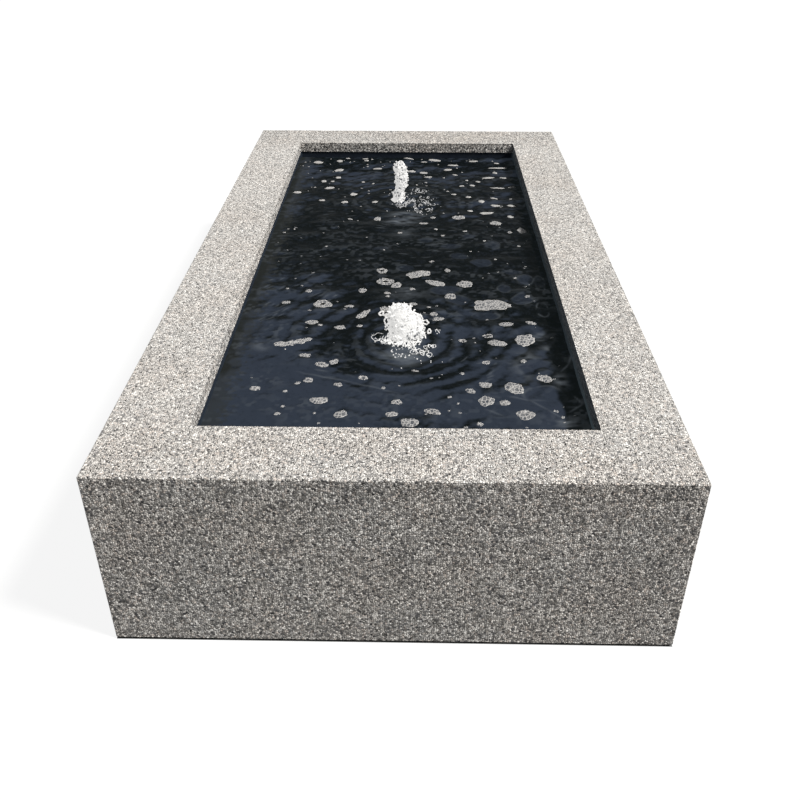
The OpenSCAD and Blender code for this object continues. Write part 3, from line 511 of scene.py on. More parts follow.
# Pool water
# Dark, clear water stands 50 mm under the rim. Rings spread from both jets across slow crossing
# waves, painted with a reflection of pale sky on their near slopes and of black on the rest.
WATER_STEP = 0.003
WATER_LOW, WATER_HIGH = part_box("pool_water")
WATER_Z = WATER_HIGH.z
FRONT_JET = (0.012, -0.430)
REAR_JET = (-0.012, 0.425)
SWELLS = 26
SWELL_STEEPNESS = 0.0026
LATTICE = (97, 89)


def ramp(value, start, end):
    """0 up to the start, 1 from the end on and straight between them. The end may be the lower one."""
    return np.clip((value - start) / (end - start), 0, 1)


def eased(value):
    """Rounds both corners of a ramp."""
    return value * value * (3 - 2 * value)


def bell(value, width):
    """1 at zero, fading smoothly to 0 on both sides."""
    return np.exp(-(value / width) ** 2)


def smooth_noise(x, y, cell_x, cell_y, seed):
    """Random values on a lattice, blended smoothly, from 0 to 1 and about a cell across."""
    table = np.random.default_rng(seed).random(LATTICE)
    u, v = x / cell_x + 500.0, y / cell_y + 500.0
    i, j = np.floor(u).astype(int), np.floor(v).astype(int)
    s, t = eased(u - i), eased(v - j)
    i, i_next = i % LATTICE[0], (i + 1) % LATTICE[0]
    j, j_next = j % LATTICE[1], (j + 1) % LATTICE[1]
    near = table[i, j] * (1 - s) + table[i_next, j] * s
    far = table[i, j_next] * (1 - s) + table[i_next, j_next] * s
    return near * (1 - t) + far * t


def patchy(x, y, cell_x, cell_y, seed, layers=3):
    """Several layers of smooth noise, each half as large and half as strong as the last."""
    shares = [0.5 ** k for k in range(layers)]
    total = sum(share * smooth_noise(x, y, cell_x * share, cell_y * share, seed + k)
                for k, share in enumerate(shares))
    return total / sum(shares)


def wave_height(x, y):
    """Height of the rippled surface above still water."""
    x, y = np.asarray(x, float), np.asarray(y, float)
    height = np.zeros_like(x)
    warp = 0.012 * (patchy(x, y, 0.11, 0.11, 3) - 0.5)

    # Rings round each jet: how high, how far they reach and how far apart
    for jet, strength, reach, spacing in ((FRONT_JET, 0.0016, 0.19, 0.04), (REAR_JET, 0.0011, 0.15, 0.034)):
        r = np.hypot(x - jet[0], y - jet[1]) + 3 * warp
        height += strength * np.exp(-r / reach) * np.cos(2 * math.pi * r / spacing)
    swell = random.Random(11)
    for _ in range(SWELLS):
        length = swell.uniform(0.035, 0.15)
        turn = swell.uniform(0, math.pi)
        phase = swell.uniform(0, 2 * math.pi)
        across = (x + warp) * math.cos(turn) + (y - 2 * warp) * math.sin(turn)
        height += SWELL_STEEPNESS * length * np.sin(2 * math.pi * across / length + phase)

    # Steeper facets at the right front, and fine ripples everywhere
    facets = ramp(x, 0.16, 0.28) * ramp(y, -0.1, -0.3) * np.abs(patchy(x, y, 0.075, 0.075, 31, 2) - 0.5)
    return height + 0.010 * facets + 0.002 * (patchy(x, y, 0.022, 0.022, 17, 2) - 0.5)


columns = round((WATER_HIGH.x - WATER_LOW.x) / WATER_STEP) + 1
rows = round((WATER_HIGH.y - WATER_LOW.y) / WATER_STEP) + 1
grid_x, grid_y = np.meshgrid(np.linspace(WATER_LOW.x, WATER_HIGH.x, columns),
                             np.linspace(WATER_LOW.y, WATER_HIGH.y, rows))
grid_z = wave_height(grid_x, grid_y)
slope_y, slope_x = np.gradient(grid_z, WATER_STEP)


def over_water(cell_x, cell_y, seed, layers=3):
    """Patchy noise at every point of the water."""
    return patchy(grid_x, grid_y, cell_x, cell_y, seed, layers)


def soft_spot(at_x, at_y, wide, deep):
    """1 at a place on the water, in metres, fading smoothly to 0 round it."""
    return bell(grid_x - at_x, wide) * bell(grid_y - at_y, deep)


def stroke(at_x, at_y, turn, half_length, half_width, bend=0.0):
    """1 along a short curved stroke on the water, in millimetres and degrees, fading to 0 round it."""
    turn = math.radians(turn)
    across_x, across_y = 1000 * grid_x - at_x, 1000 * grid_y - at_y
    along = (across_x * math.cos(turn) + across_y * math.sin(turn)) / half_length
    aside = -across_x * math.sin(turn) + across_y * math.cos(turn) + bend * half_length * along ** 2
    return bell(aside, half_width) * np.clip(1 - along ** 2, 0, 1)


def folds(corners, half_width):
    """1 along a chain of straight folds on the water between corners in millimetres."""
    total = np.zeros_like(grid_x)
    for (from_x, from_y), (to_x, to_y) in zip(corners, corners[1:]):
        turn = math.degrees(math.atan2(to_y - from_y, to_x - from_x))
        reach = 0.62 * math.hypot(to_x - from_x, to_y - from_y)
        total = np.maximum(total, stroke((from_x + to_x) / 2, (from_y + to_y) / 2, turn, reach, half_width))
    return total


def lens(at_x, at_y, half_x, half_y):
    """A flat facet of the waves, in millimetres: how far inside it and how near its broken outline."""
    u, v = (1000 * grid_x - at_x) / half_x, (1000 * grid_y - at_y) / half_y
    shape = np.hypot(u, v) + 0.75 * (over_water(0.05, 0.04, 71, 2) - 0.5) + 0.12 * np.abs(u)
    broken = np.clip(2.6 * over_water(0.03, 0.02, 73, 2) - 0.9, 0, 1)
    return ramp(shape, 1.0, 0.88), broken * bell(shape - 1.0, 0.09)


# Flat facets with a painted reflection of the sky, as places and half sizes in millimetres and how pale
# they are
LENSES = [(205, -24, 31, 22, 0.3), (129, 83, 29, 21, 0.22), (148, 17, 26, 20, 0.22),
          (240, 92, 21, 28, 0.25), (282, -81, 30, 18, 0.22), (305, -128, 22, 35, 0.34),
          (339, -151, 15, 46, 0.34), (287, -234, 24, 27, 0.32), (251, -180, 19, 22, 0.26),
          (329, -291, 16, 36, 0.38), (138, -242, 33, 27, 0.32), (196, -324, 32, 20, 0.3),
          (106, -188, 39, 28, 0.3), (286, -655, 42, 28, 0.35), (60, 120, 24, 16, 0.18),
          (-60, 60, 22, 14, 0.18), (180, 150, 22, 16, 0.22), (90, -330, 30, 18, 0.25),
          (10, -60, 26, 16, 0.2)]

# Painted highlights along thin folds between facets, as corners in millimetres, from the right front corner
# to the left side
FOLDS = [[(219, -667), (258, -681), (289, -715), (312, -739)], [(171, -709), (202, -734)],
         [(346, -665), (357, -695), (329, -720)], [(365, -502), (353, -540), (334, -569)],
         [(301, -749), (343, -758)], [(305, -766), (338, -768)], [(-200, -580), (-91, -617), (-4, -653)]]
FOLD_WIDTH = 2.2

# Paler smears, as places and half sizes in millimetres and how pale they are
SMEARS = [(266, -546, 20, 44, 0.3), (329, -605, 11, 20, 0.34), (308, -417, 13, 14, 0.3),
          (317, -475, 11, 15, 0.3), (322, -755, 30, 10, 0.22), (-294, -474, 16, 16, 0.18)]

# Groups of thin bright crests, painted highlights: place and half size in millimetres, how many, and their
# direction
WISPS = [(-283, -307, 34, 46, 18, 52), (-270, -150, 62, 46, 16, 45), (-268, 20, 70, 30, 12, 30),
         (-190, -240, 40, 40, 10, 50), (-30, 60, 190, 60, 26, 2), (60, -350, 40, 40, 12, -35),
         (150, -560, 60, 50, 12, 40), (0, 250, 240, 90, 34, 0), (0, 560, 300, 170, 60, 0),
         (30, 430, 60, 60, 26, 20), (-110, -540, 50, 60, 12, -20)]

# Pale water, as strength, place and half size in metres: air that the jets drive under drifts to the front,
# and in front of each jet a painted reflection of its froth
AIR_SPOTS = [(0.95, 0.001, -0.525, 0.038, 0.024), (0.70, 0.012, -0.495, 0.036, 0.03),
             (0.35, 0.02, -0.20, 0.045, 0.035), (0.95, 0.007, 0.306, 0.045, 0.024),
             (1.5, -0.008, 0.256, 0.032, 0.014), (0.35, 0.0, 0.17, 0.03, 0.03)]

# Sheen: how much painted reflection of pale sky each place shows, from 0, black, to 1, slate blue. It is
# the sum of patches, each a strength times where it holds on the water, in metres.
ring = np.hypot(grid_x - FRONT_JET[0], grid_y - FRONT_JET[1])
sheen = 0.10 + 0.80 * ramp(grid_y, -0.36, -0.78) + 0.14 * ramp(grid_y, 0.15, 0.55)
sheen -= 0.46 * bell(grid_y - 0.10, 0.28)
sheen += 0.50 * ramp(grid_x, -0.27, -0.34) * ramp(grid_y, -0.25, -0.05)
sheen += 0.52 * ramp(grid_x, -0.08, -0.24) * ramp(grid_y, 0.02, -0.18)
sheen -= 0.55 * ramp(grid_x, -0.342, -0.352)
sheen += 0.20 * ramp(grid_x, 0.05, 0.15) * ramp(grid_x, 0.28, 0.25) * ramp(grid_y, -0.2, -0.4)
sheen -= 0.4 * bell(ring - 0.155, 0.04) * ramp(grid_y, -0.38, -0.48)
sheen += 0.6 * soft_spot(0.0, -0.548, 0.06, 0.03)
sheen += 0.95 * (over_water(0.13, 0.07, 41) - 0.5) + 0.55 * (over_water(0.10, 0.018, 43, 2) - 0.5)
sheen += 3.6 * slope_y - 1.4 * slope_x
sheen = eased(ramp(sheen, 0.12, 0.88))

# Air and glints: how much pale air, and how much painted highlight on edges and crests, each place shows
aerated = sum(strength * soft_spot(*spot) for strength, *spot in AIR_SPOTS)
aerated *= np.clip(2.2 * over_water(0.030, 0.012, 53) - 0.45, 0, 1)
smear_gaps = np.clip(3.2 * over_water(0.022, 0.014, 59, 2) - 1.0, 0, 1)
for x, y, half_x, half_y, strength in SMEARS:
    aerated += 2.6 * strength * smear_gaps * soft_spot(x / 1000, y / 1000, half_x * 0.0011, half_y * 0.0011)
for x, y, half_x, half_y, strength in LENSES:
    inside, outline = lens(x, y, half_x, half_y)
    sheen = np.maximum(sheen, 1.9 * strength * inside)
    aerated += strength * outline
for corners in FOLDS:
    aerated += 0.40 * folds(corners, FOLD_WIDTH)
wisp = random.Random(33)
for x, y, half_x, half_y, count, turn in WISPS:
    for _ in range(count):
        strength = wisp.uniform(0.12, 0.42)
        place = (x + half_x * wisp.uniform(-1, 1), y + half_y * wisp.uniform(-1, 1))
        direction = turn + wisp.uniform(-18, 18)
        aerated += strength * stroke(*place, direction, wisp.uniform(6, 18), wisp.uniform(1.6, 2.8),
                                     wisp.uniform(-0.3, 0.3))
# Painted highlights on the sharpest crests
hollow = np.gradient(slope_y, WATER_STEP, axis=0) + np.gradient(slope_x, WATER_STEP, axis=1)
aerated += 0.22 * ramp(hollow, 0.0, -7.0) ** 3 * np.clip(2 * over_water(0.09, 0.05, 67) - 0.7, 0, 1)
aerated = np.clip(aerated, 0, 1)

# Painted reflection: the near water is painted black in a band beside the shaded right wall
band_edge = 0.312 + 0.035 * (over_water(0.06, 0.05, 83) - 0.5)
sheen *= 1 - ramp(grid_x, band_edge, band_edge + 0.008) * ramp(grid_y, 0.0, -0.2)

# Water tones: the water's own black, a painted reflection of pale sky, a painted reflection of the left
# wall, and pale air with painted highlights
BLACK_WATER = (0.0014, 0.0020, 0.0024, 1)
SLATE_SKY_REFLECTION = (0.0205, 0.0262, 0.0390, 1)
WALL_REFLECTION_WATER = (0.0205, 0.0215, 0.0200, 1)
AIR_AND_GLINT_WATER = (0.100, 0.112, 0.127, 1)
dark_water, tree, shader = new_finish("dark_water")
spot = own_place(tree)
sheen_here = add_node(tree, "Attribute", attribute_name="sheen").outputs["Fac"]
air_and_glints_here = add_node(tree, "Attribute", attribute_name="aerated").outputs["Fac"]
flecks = spread(tree, cloudy(tree, spot, 210.0, 3.0), 0.3, 0.7, -0.12, 0.12)
dapple = cloudy(tree, spot, 85.0)
sheen_here = calc(tree, "ADD", sheen_here, flecks)
sheen_here = calc(tree, "ADD", sheen_here, spread(tree, dapple, 0.35, 0.65, -0.12, 0.14), clamp=True)
water_and_reflection_tone = mixed(tree, sheen_here, BLACK_WATER, SLATE_SKY_REFLECTION)

# Painted reflection: a brownish band along the left wall, where the water mirrors the wall
at_wall = calc(tree, "ADD", axis_of(tree, spot, "X"), spread(tree, dapple, 0.3, 0.7, -0.02, 0.02))
water_and_reflection_tone = mixed(tree, spread(tree, at_wall, -0.314, -0.336, 0.0, 0.55), water_and_reflection_tone, WALL_REFLECTION_WATER)
water_and_reflection_tone = mixed(tree, air_and_glints_here, water_and_reflection_tone, AIR_AND_GLINT_WATER)

# Half of the tone is given as a glow, since a mirrored sky doesn't darken in the rim's shadow
set_inputs(tree, shader, Base_Color=mixed(tree, 0.4, water_and_reflection_tone, (0, 0, 0, 1)), Roughness=0.07,
           Emission_Color=mixed(tree, 0.009, water_and_reflection_tone, (0.75, 1.0, 1.0, 1)), Emission_Strength=0.58,
           Specular_IOR_Level=0.002, Normal=bumped(tree, cloudy(tree, spot, 120.0), 0.35, 0.0006))


def finished_mesh(name, points, faces, material, **attributes):
    """A smooth mesh with this finish and a value per point for each named attribute."""
    mesh = bpy.data.meshes.new(name)
    mesh.from_pydata(points.tolist(), [], faces.tolist())
    mesh.shade_smooth()
    for attribute_name, values in attributes.items():
        attribute = mesh.attributes.new(attribute_name, "FLOAT", "POINT")
        attribute.data.foreach_set("value", values.ravel().astype(np.float32))
    mesh.materials.append(material)
    return mesh


def add_piece(mesh, body, slot, *replaced):
    """Adds a piece that rides on a body and may stand for CAD nodes, which it hides. The slot is not used.
    """
    piece = bpy.data.objects.new(mesh.name, mesh)
    scene.collection.objects.link(piece)
    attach(piece, body)
    if replaced:
        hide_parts(*replaced)


points = np.stack([grid_x, grid_y, WATER_Z + grid_z], axis=-1).reshape(-1, 3)
corner = (np.arange(rows - 1)[:, None] * columns + np.arange(columns - 1)[None, :]).ravel()
squares = np.stack([corner, corner + 1, corner + columns + 1, corner + columns], axis=-1)
water_mesh = finished_mesh("rippled_water", points, squares, dark_water, sheen=sheen, aerated=aerated)
add_piece(water_mesh, "basin", "water", "pool_water")


# Foam rafts
# Froth that drifted off the jets: flat rafts of bubbles, a few millimetres each, with white walls
# where bubbles meet and dark water showing through the larger ones.
BUBBLE_STEP = 0.0010
BUBBLE_LENGTH = 1.6
BUBBLE_LEAST, BUBBLE_MOST = 0.0040, 0.0068
SMALL_RAFT = 0.0035
FAR_END = 0.3
raft_foam, tree, shader = new_finish("raft_foam")
fizz = cloudy(tree, own_place(tree), 700.0)
wall_here = add_node(tree, "Attribute", attribute_name="wall").outputs["Fac"]
wall_here = calc(tree, "ADD", wall_here, spread(tree, fizz, 0.3, 0.7, -0.16, 0.16), clamp=True)
foam_tone = mixed(tree, wall_here, (0.028, 0.034, 0.046, 1), (0.455, 0.442, 0.424, 1))
set_inputs(tree, shader, Base_Color=foam_tone, Roughness=0.4, Specular_IOR_Level=0.25,
           Normal=bumped(tree, fizz, 0.5, 0.0005))

# Places and sizes in millimetres: x, y, half length, half width, turn in degrees
NEAR_RAFTS = [(-270, -260, 13, 8, 0), (-119, -280, 11, 8, 8), (-85, -320, 26, 9, 58),
              (-198, -360, 14, 12, 0), (-178, -375, 7, 4, 0), (-133, -385, 13, 9, -10),
              (-90, -380, 7, 6, 10), (-197, -510, 13, 10, 5), (-158, -550, 16, 9, -8),
              (-134, -536, 14, 8, 60), (-70, -600, 11, 8, 0), (-180, -610, 10, 10, 20),
              (-200, -622, 8, 5, 30), (-118, -628, 10, 7, -22), (-281, -645, 11, 9, 0),
              (-220, -657, 6, 4, 30), (-151, -684, 19, 12, 3), (-218, -708, 5, 4, 0), (-225, -735, 7, 5, 0),
              (-155, -731, 4, 3, 0), (-105, -734, 13, 13, 0), (0, -690, 11, 9, 0), (-9, -731, 12, 9, 0),
              (-27, -637, 5, 4, 0), (118, -222, 15, 12, 15), (66, -283, 6, 4, 0), (238, -369, 17, 10, 5),
              (295, -363, 13, 9, -12), (212, -452, 21, 14, -4), (183, -536, 9, 7, 5), (260, -533, 7, 7, 20),
              (131, -580, 7, 4, -5), (176, -622, 14, 11, -18), (145, -647, 11, 8, -20),
              (232, -637, 19, 23, 0), (174, -682, 15, 17, -25), (209, -690, 11, 10, 0),
              (69, -722, 16, 11, -20), (26, -760, 19, 13, -12), (157, -762, 7, 6, 0),
              (245, -733, 18, 16, 15), (103, -672, 5, 4, 0), (121, -725, 5, 3, 0), (304, -718, 6, 4, -10),
              (314, -738, 4, 4, 0), (301, -222, 7, 6, 0), (35, -572, 8, 4, -8), (68, -600, 5, 3, 0),
              (297, -597, 17, 13, -15), (274, -437, 20, 30, -25), (213, -270, 45, 27, -4),
              (29, -263, 11, 8, 0), (-36, -296, 11, 15, 20), (77, -318, 10, 9, -20), (86, -343, 16, 8, 5)]
MIDDLE_RAFTS = [(-76, 280, 11, 14, 0), (157, 292, 20, 13, 10), (56, 245, 14, 8, -4), (260, 247, 18, 12, -5),
                (329, 195, 13, 17, 0), (294, 185, 8, 6, 0), (-10, 175, 8, 5, 0), (90, 200, 6, 5, 0),
                (171, 192, 7, 6, 0), (108, 155, 6, 5, 0), (75, -20, 7, 5, 0), (41, -100, 31, 22, 22),
                (115, -75, 8, 10, 0), (84, -150, 26, 15, -28), (155, -155, 21, 17, -8),
                (-93, -195, 10, 12, 0), (27, -185, 8, 7, 0), (-33, -207, 9, 6, 0), (-31, -230, 6, 6, 0),
                (-12, -160, 13, 13, -20), (-223, -203, 9, 7, 0), (-275, -190, 4, 4, 0), (240, -10, 4, 4, 0),
                (280, -120, 5, 4, 0), (220, 120, 5, 4, 0), (310, 85, 5, 4, 0), (-330, 170, 5, 4, 0),
                (-205, 72, 4, 4, 0), (-305, 198, 4, 4, 0)]
FAR_RAFTS = [(-332, 495, 13, 10, 4), (-297, 795, 16, 12, 3), (-225, 810, 11, 10, -15), (-200, 840, 8, 4, 0),
             (-140, 838, 11, 5, 0), (-135, 815, 8, 6, 0), (-220, 710, 15, 13, 12), (-217, 640, 10, 9, 10),
             (-260, 600, 9, 9, 0), (-232, 595, 6, 5, 0), (-236, 538, 16, 9, 5), (-158, 485, 11, 12, 0),
             (-250, 430, 9, 8, 10), (-180, 410, 12, 6, 15), (-95, 735, 17, 6, -4), (-135, 600, 6, 6, 0),
             (-90, 420, 10, 6, 20), (8, 838, 18, 5, -8), (60, 805, 11, 5, 5), (95, 825, 21, 9, -8),
             (155, 765, 20, 6, -4), (225, 815, 15, 8, -10), (137, 725, 13, 8, 4), (17, 704, 15, 9, -5),
             (58, 695, 15, 9, -6), (72, 645, 14, 6, -4), (195, 618, 6, 4, 0), (160, 670, 9, 4, -10),
             (230, 600, 8, 5, -20), (177, 565, 9, 5, 5), (210, 568, 9, 7, -15), (304, 745, 31, 7, -3),
             (303, 800, 10, 5, 0), (290, 690, 9, 6, 0), (265, 645, 21, 6, 8), (313, 645, 12, 5, -8),
             (288, 548, 22, 5, -2), (334, 555, 13, 5, 4), (150, 490, 9, 4, 5), (193, 465, 8, 6, 10),
             (270, 455, 12, 6, -18), (320, 450, 5, 4, 0), (230, 420, 10, 9, -15), (270, 390, 14, 8, -8),
             (316, 390, 12, 8, -5), (193, 350, 9, 5, 0), (240, 330, 20, 10, -3), (83, 290, 8, 6, -10),
             (307, 305, 10, 8, -5), (-155, 280, 8, 5, 0)]

# Rafts that closed round open water: the same five values and the share that is open
OPEN_RAFTS = [(-182, -270, 22, 20, -10, 0.3), (194, -418, 11, 9, 0, 0.45), (-40, -143, 22, 17, 0, 0.3),
              (-50, -78, 14, 16, 0, 0.35), (138, -441, 9, 8, 0, 0.4)]

# One long raft made of lobes that joined, each turned by 20 degrees
LOBES = [(-258, -463, 13, 9), (-244, -466, 14, 9), (-230, -458, 14, 9), (-214, -452, 13, 10),
         (-200, -444, 11, 8)]


def bands(around, count):
    """Faces between rings of points: this many points to a ring and this many bands."""
    spoke = np.arange(around)
    band = np.stack([spoke, np.roll(spoke, -1), around + np.roll(spoke, -1), around + spoke], axis=-1)
    return (band + around * np.arange(count)[:, None, None]).reshape(-1, 4)


def foam_raft(x, y, half_length, half_width, turn, seed, hole=0.0):
    """One raft, in millimetres and degrees: its points, its faces and how much of a wall each point is."""
    x, y, half_length, half_width = x / 1000, y / 1000, half_length / 1000, half_width / 1000
    least = min(half_length, half_width)
    pick = np.random.default_rng(seed)
    around = max(12, round(math.pi * (half_length + half_width) / BUBBLE_STEP))
    inward = max(3, round(least * (1 - hole) / BUBBLE_STEP))
    angle = np.arange(around) * 2 * math.pi / around
    outline = np.ones(around)
    for k in (2, 3, 4, 5, 7, 9, 12, 15):
        bulge = pick.uniform(0.25, 1.0) * 0.14 / k ** 0.6
        outline += bulge * np.sin(k * angle + pick.uniform(0, 2 * math.pi))
    share = (1 - (1 - hole) * np.arange(inward + 1) / inward)[:, None]
    along = half_length * share * outline * np.cos(angle)
    across = half_width * share * outline * np.sin(angle)
    turn = math.radians(turn)
    at_x = x + along * math.cos(turn) - across * math.sin(turn)
    at_y = y + along * math.sin(turn) + across * math.cos(turn)

    # Bubbles on a shaken grid: large ones in a large raft, small ones in a small raft. Less water
    # shows through those at the far end, which are seen at a flatter angle.
    size = min(BUBBLE_MOST, BUBBLE_LEAST + 0.17 * least)
    count = max(1, round(max(half_length, half_width) * 1.4 / size))
    steps = np.arange(-count, count + 1)
    grid_u, grid_v = np.meshgrid(steps, steps)
    shake = pick.uniform(-0.36, 0.36, (2, *grid_u.shape))
    bubble_x = (x + size * (grid_u + 0.5 * (grid_v % 2) + shake[0])).ravel()
    bubble_y = (y + BUBBLE_LENGTH * size * (grid_v + shake[1])).ravel()
    open_share = pick.uniform(0.6, 1.0, bubble_x.size) * (0.45 if y > FAR_END else 1.0)
    apart = np.hypot(at_x[..., None] - bubble_x, (at_y[..., None] - bubble_y) / BUBBLE_LENGTH)
    apart = apart - size * pick.uniform(0.0, 0.45, bubble_x.size)
    order = np.argpartition(apart, 1, axis=-1)[..., :2]
    nearest = np.take_along_axis(apart, order, -1)
    between = (nearest[..., 1] - nearest[..., 0]) / size

    # A wall stands where two bubbles are equally near, and along the raft's edges
    rim = (share - hole) / (1 - hole)
    to_edge = np.abs(rim - 0.5) - 0.38 if hole else rim - 0.88
    wall = 1 - np.clip(between * 4.8 - 0.24, 0, 1) * open_share[order[..., 0]] * ramp(to_edge, 0.10, 0.0)
    if least < SMALL_RAFT:
        wall = wall * pick.uniform(0.45, 1.0)
    crown = np.sqrt(np.clip(1 - (2 * rim - 1 if hole else rim) ** 6, 0, 1))
    lift = crown * (0.0009 + 0.0014 * wall) - 0.0006
    points = np.stack([at_x, at_y, WATER_Z + wave_height(at_x, at_y) + lift], axis=-1).reshape(-1, 3)
    return points, bands(around, inward), np.clip(wall, 0, 1).ravel()


rafts = [(*row, 100 + n) for n, row in enumerate(NEAR_RAFTS + MIDDLE_RAFTS + FAR_RAFTS)]
rafts += [(*row[:5], 400 + n, row[5]) for n, row in enumerate(OPEN_RAFTS)]
rafts += [(*row, 20, 450 + n) for n, row in enumerate(LOBES)]

# Loose flecks, more of them at the far end
FLECKS = 170
fleck = random.Random(5)
for number in range(FLECKS):
    x, y = fleck.uniform(-345, 345), 835 - 1660 * fleck.random() ** 1.35
    size = fleck.uniform(1.2, 3.2)
    rafts.append((x, y, size * fleck.uniform(1.0, 1.8), size * 0.9, fleck.uniform(-30, 30), 600 + number))

raft_points, raft_faces, raft_walls = zip(*[foam_raft(*row) for row in rafts])
starts = np.cumsum([0] + [len(points) for points in raft_points[:-1]])
raft_faces = np.concatenate([faces + start for faces, start in zip(raft_faces, starts)])
raft_mesh = finished_mesh("foam_rafts", np.concatenate(raft_points), raft_faces, raft_foam,
                          wall=np.concatenate(raft_walls))
add_piece(raft_mesh, "basin", "foam")


# Jets
# Each nozzle drives air and water up together, so what leaves it is white froth: a broad leaning
# burst over the front nozzle and a narrow, knobbly column over the rear one, with lace round them.
BALL_STEP = 1.2
BODY_SIDES = 48
spray, tree, shader = new_finish("white_spray")
fizz = cloudy(tree, own_place(tree), 520.0, 3.0)
# Painted shade: pits and open bubbles darken the froth's colour and glow
pit_shade_here = add_node(tree, "Attribute", attribute_name="groove").outputs["Fac"]
pit_shade_here = calc(tree, "MULTIPLY", pit_shade_here, spread(tree, fizz, 0.35, 0.6, 0.6, 1.1), clamp=True)
froth_tone = mixed(tree, pit_shade_here, (0.37, 0.366, 0.357, 1), (0.09, 0.10, 0.12, 1))
# Painted light: the froth glows, standing in for light scattered through it, so its shaded side stays
# bright
froth_glow = mixed(tree, pit_shade_here, (0.95, 0.94, 0.92, 1), (0.04, 0.045, 0.055, 1))
set_inputs(tree, shader, Base_Color=froth_tone, Emission_Color=froth_glow, Emission_Strength=0.65,
           Roughness=0.5, Specular_IOR_Level=0.2, Normal=bumped(tree, fizz, 0.5, 0.0008))


def strand(balls, foot, tip, girth, tip_girth, rise=0.0):
    """Adds one strand of thrown water, in millimetres: balls from its foot to its tip, along a low arc."""
    foot, tip = Vector(foot), Vector(tip)
    steps = max(5, round((tip - foot).length / BALL_STEP))
    for k in range(steps + 1):
        t = k / steps
        at = foot.lerp(tip, t)
        balls.append((at.x, at.y, at.z + rise * 4 * t * (1 - t), girth + (tip_girth - girth) * t))


def loop(balls, at, across, up, thick, seed, part=1.0):
    """Adds a loop of thrown water, in millimetres, from its centre and two half axes, or a part of one."""
    pick = random.Random(seed)
    at, across, up = Vector(at), Vector(across), Vector(up)
    steps = max(10, round(2 * math.pi * part * max(across.length, up.length) / BALL_STEP))
    waves = [(k, pick.uniform(0, 6.28), pick.uniform(0.05, 0.16)) for k in (2, 3, 5)]
    start = pick.uniform(0, 6.28) if part < 1 else 0.0
    for k in range(steps + 1):
        angle = start + 2 * math.pi * part * k / steps
        reach = 1 + sum(a * math.sin(n * angle + p) for n, p, a in waves)
        middle = at + (across * math.cos(angle) + up * math.sin(angle)) * reach
        balls.append((*middle, thick * pick.uniform(0.8, 1.2)))


def fringe(balls, rows, count, low, high, size, thick, seed):
    """Adds small loops all over a jet's body between two heights."""
    pick = random.Random(seed)
    for number in range(count):
        z = pick.uniform(low, high)
        _, left, right, middle, deep = max((row for row in rows if row[0] <= z), default=rows[0])
        angle = pick.uniform(0, 2 * math.pi)
        out = Vector((math.cos(angle), math.sin(angle), pick.uniform(-0.2, 0.5))).normalized()
        at = Vector(((left + right) / 2 + (right - left) / 2 * math.cos(angle),
                     middle + deep * math.sin(angle), z)) + out * pick.uniform(-0.4, 0.5) * size
        side = Vector([pick.uniform(-1, 1) for _ in range(3)]).cross(out).normalized()
        loop(balls, at, out * size * pick.uniform(0.6, 1.2), side * size * pick.uniform(0.6, 1.2), thick,
             seed + number, pick.choice((0.6, 0.8, 1.0)))


def body_and_balls(rows, balls):
    """One mesh, in metres, of a jet's body and its balls. Each row of the body is its height, left,
    right, middle from front to back, and half depth."""
    around = np.linspace(0, 2 * math.pi, BODY_SIDES, endpoint=False)
    points, faces = [], []
    for z, left, right, middle, deep in rows:
        ring_x = (left + right) / 2 + (right - left) / 2 * np.cos(around)
        points.append(np.stack([ring_x, middle + deep * np.sin(around), np.full(BODY_SIDES, z)], axis=-1))
    if rows:
        spoke = np.arange(BODY_SIDES)
        faces = bands(BODY_SIDES, len(rows) - 1).tolist()
        faces += [spoke[::-1].tolist(), (spoke + BODY_SIDES * (len(rows) - 1)).tolist()]

    # Every ball is a copy of one small round mesh
    round_shape = bmesh.new()
    bmesh.ops.create_icosphere(round_shape, subdivisions=1, radius=1.0)
    unit = np.array([vert.co[:] for vert in round_shape.verts])
    sides = np.array([[vert.index for vert in face.verts] for face in round_shape.faces])
    round_shape.free()
    balls = np.array(balls)
    points.append((balls[:, None, :3] + unit[None] * balls[:, None, 3:]).reshape(-1, 3))
    first = BODY_SIDES * len(rows) + len(unit) * np.arange(len(balls))
    faces += (sides[None] + first[:, None, None]).reshape(-1, 3).tolist()
    mesh = bpy.data.meshes.new("melting")
    mesh.from_pydata((np.concatenate(points) / 1000).tolist(), [], faces)
    return mesh


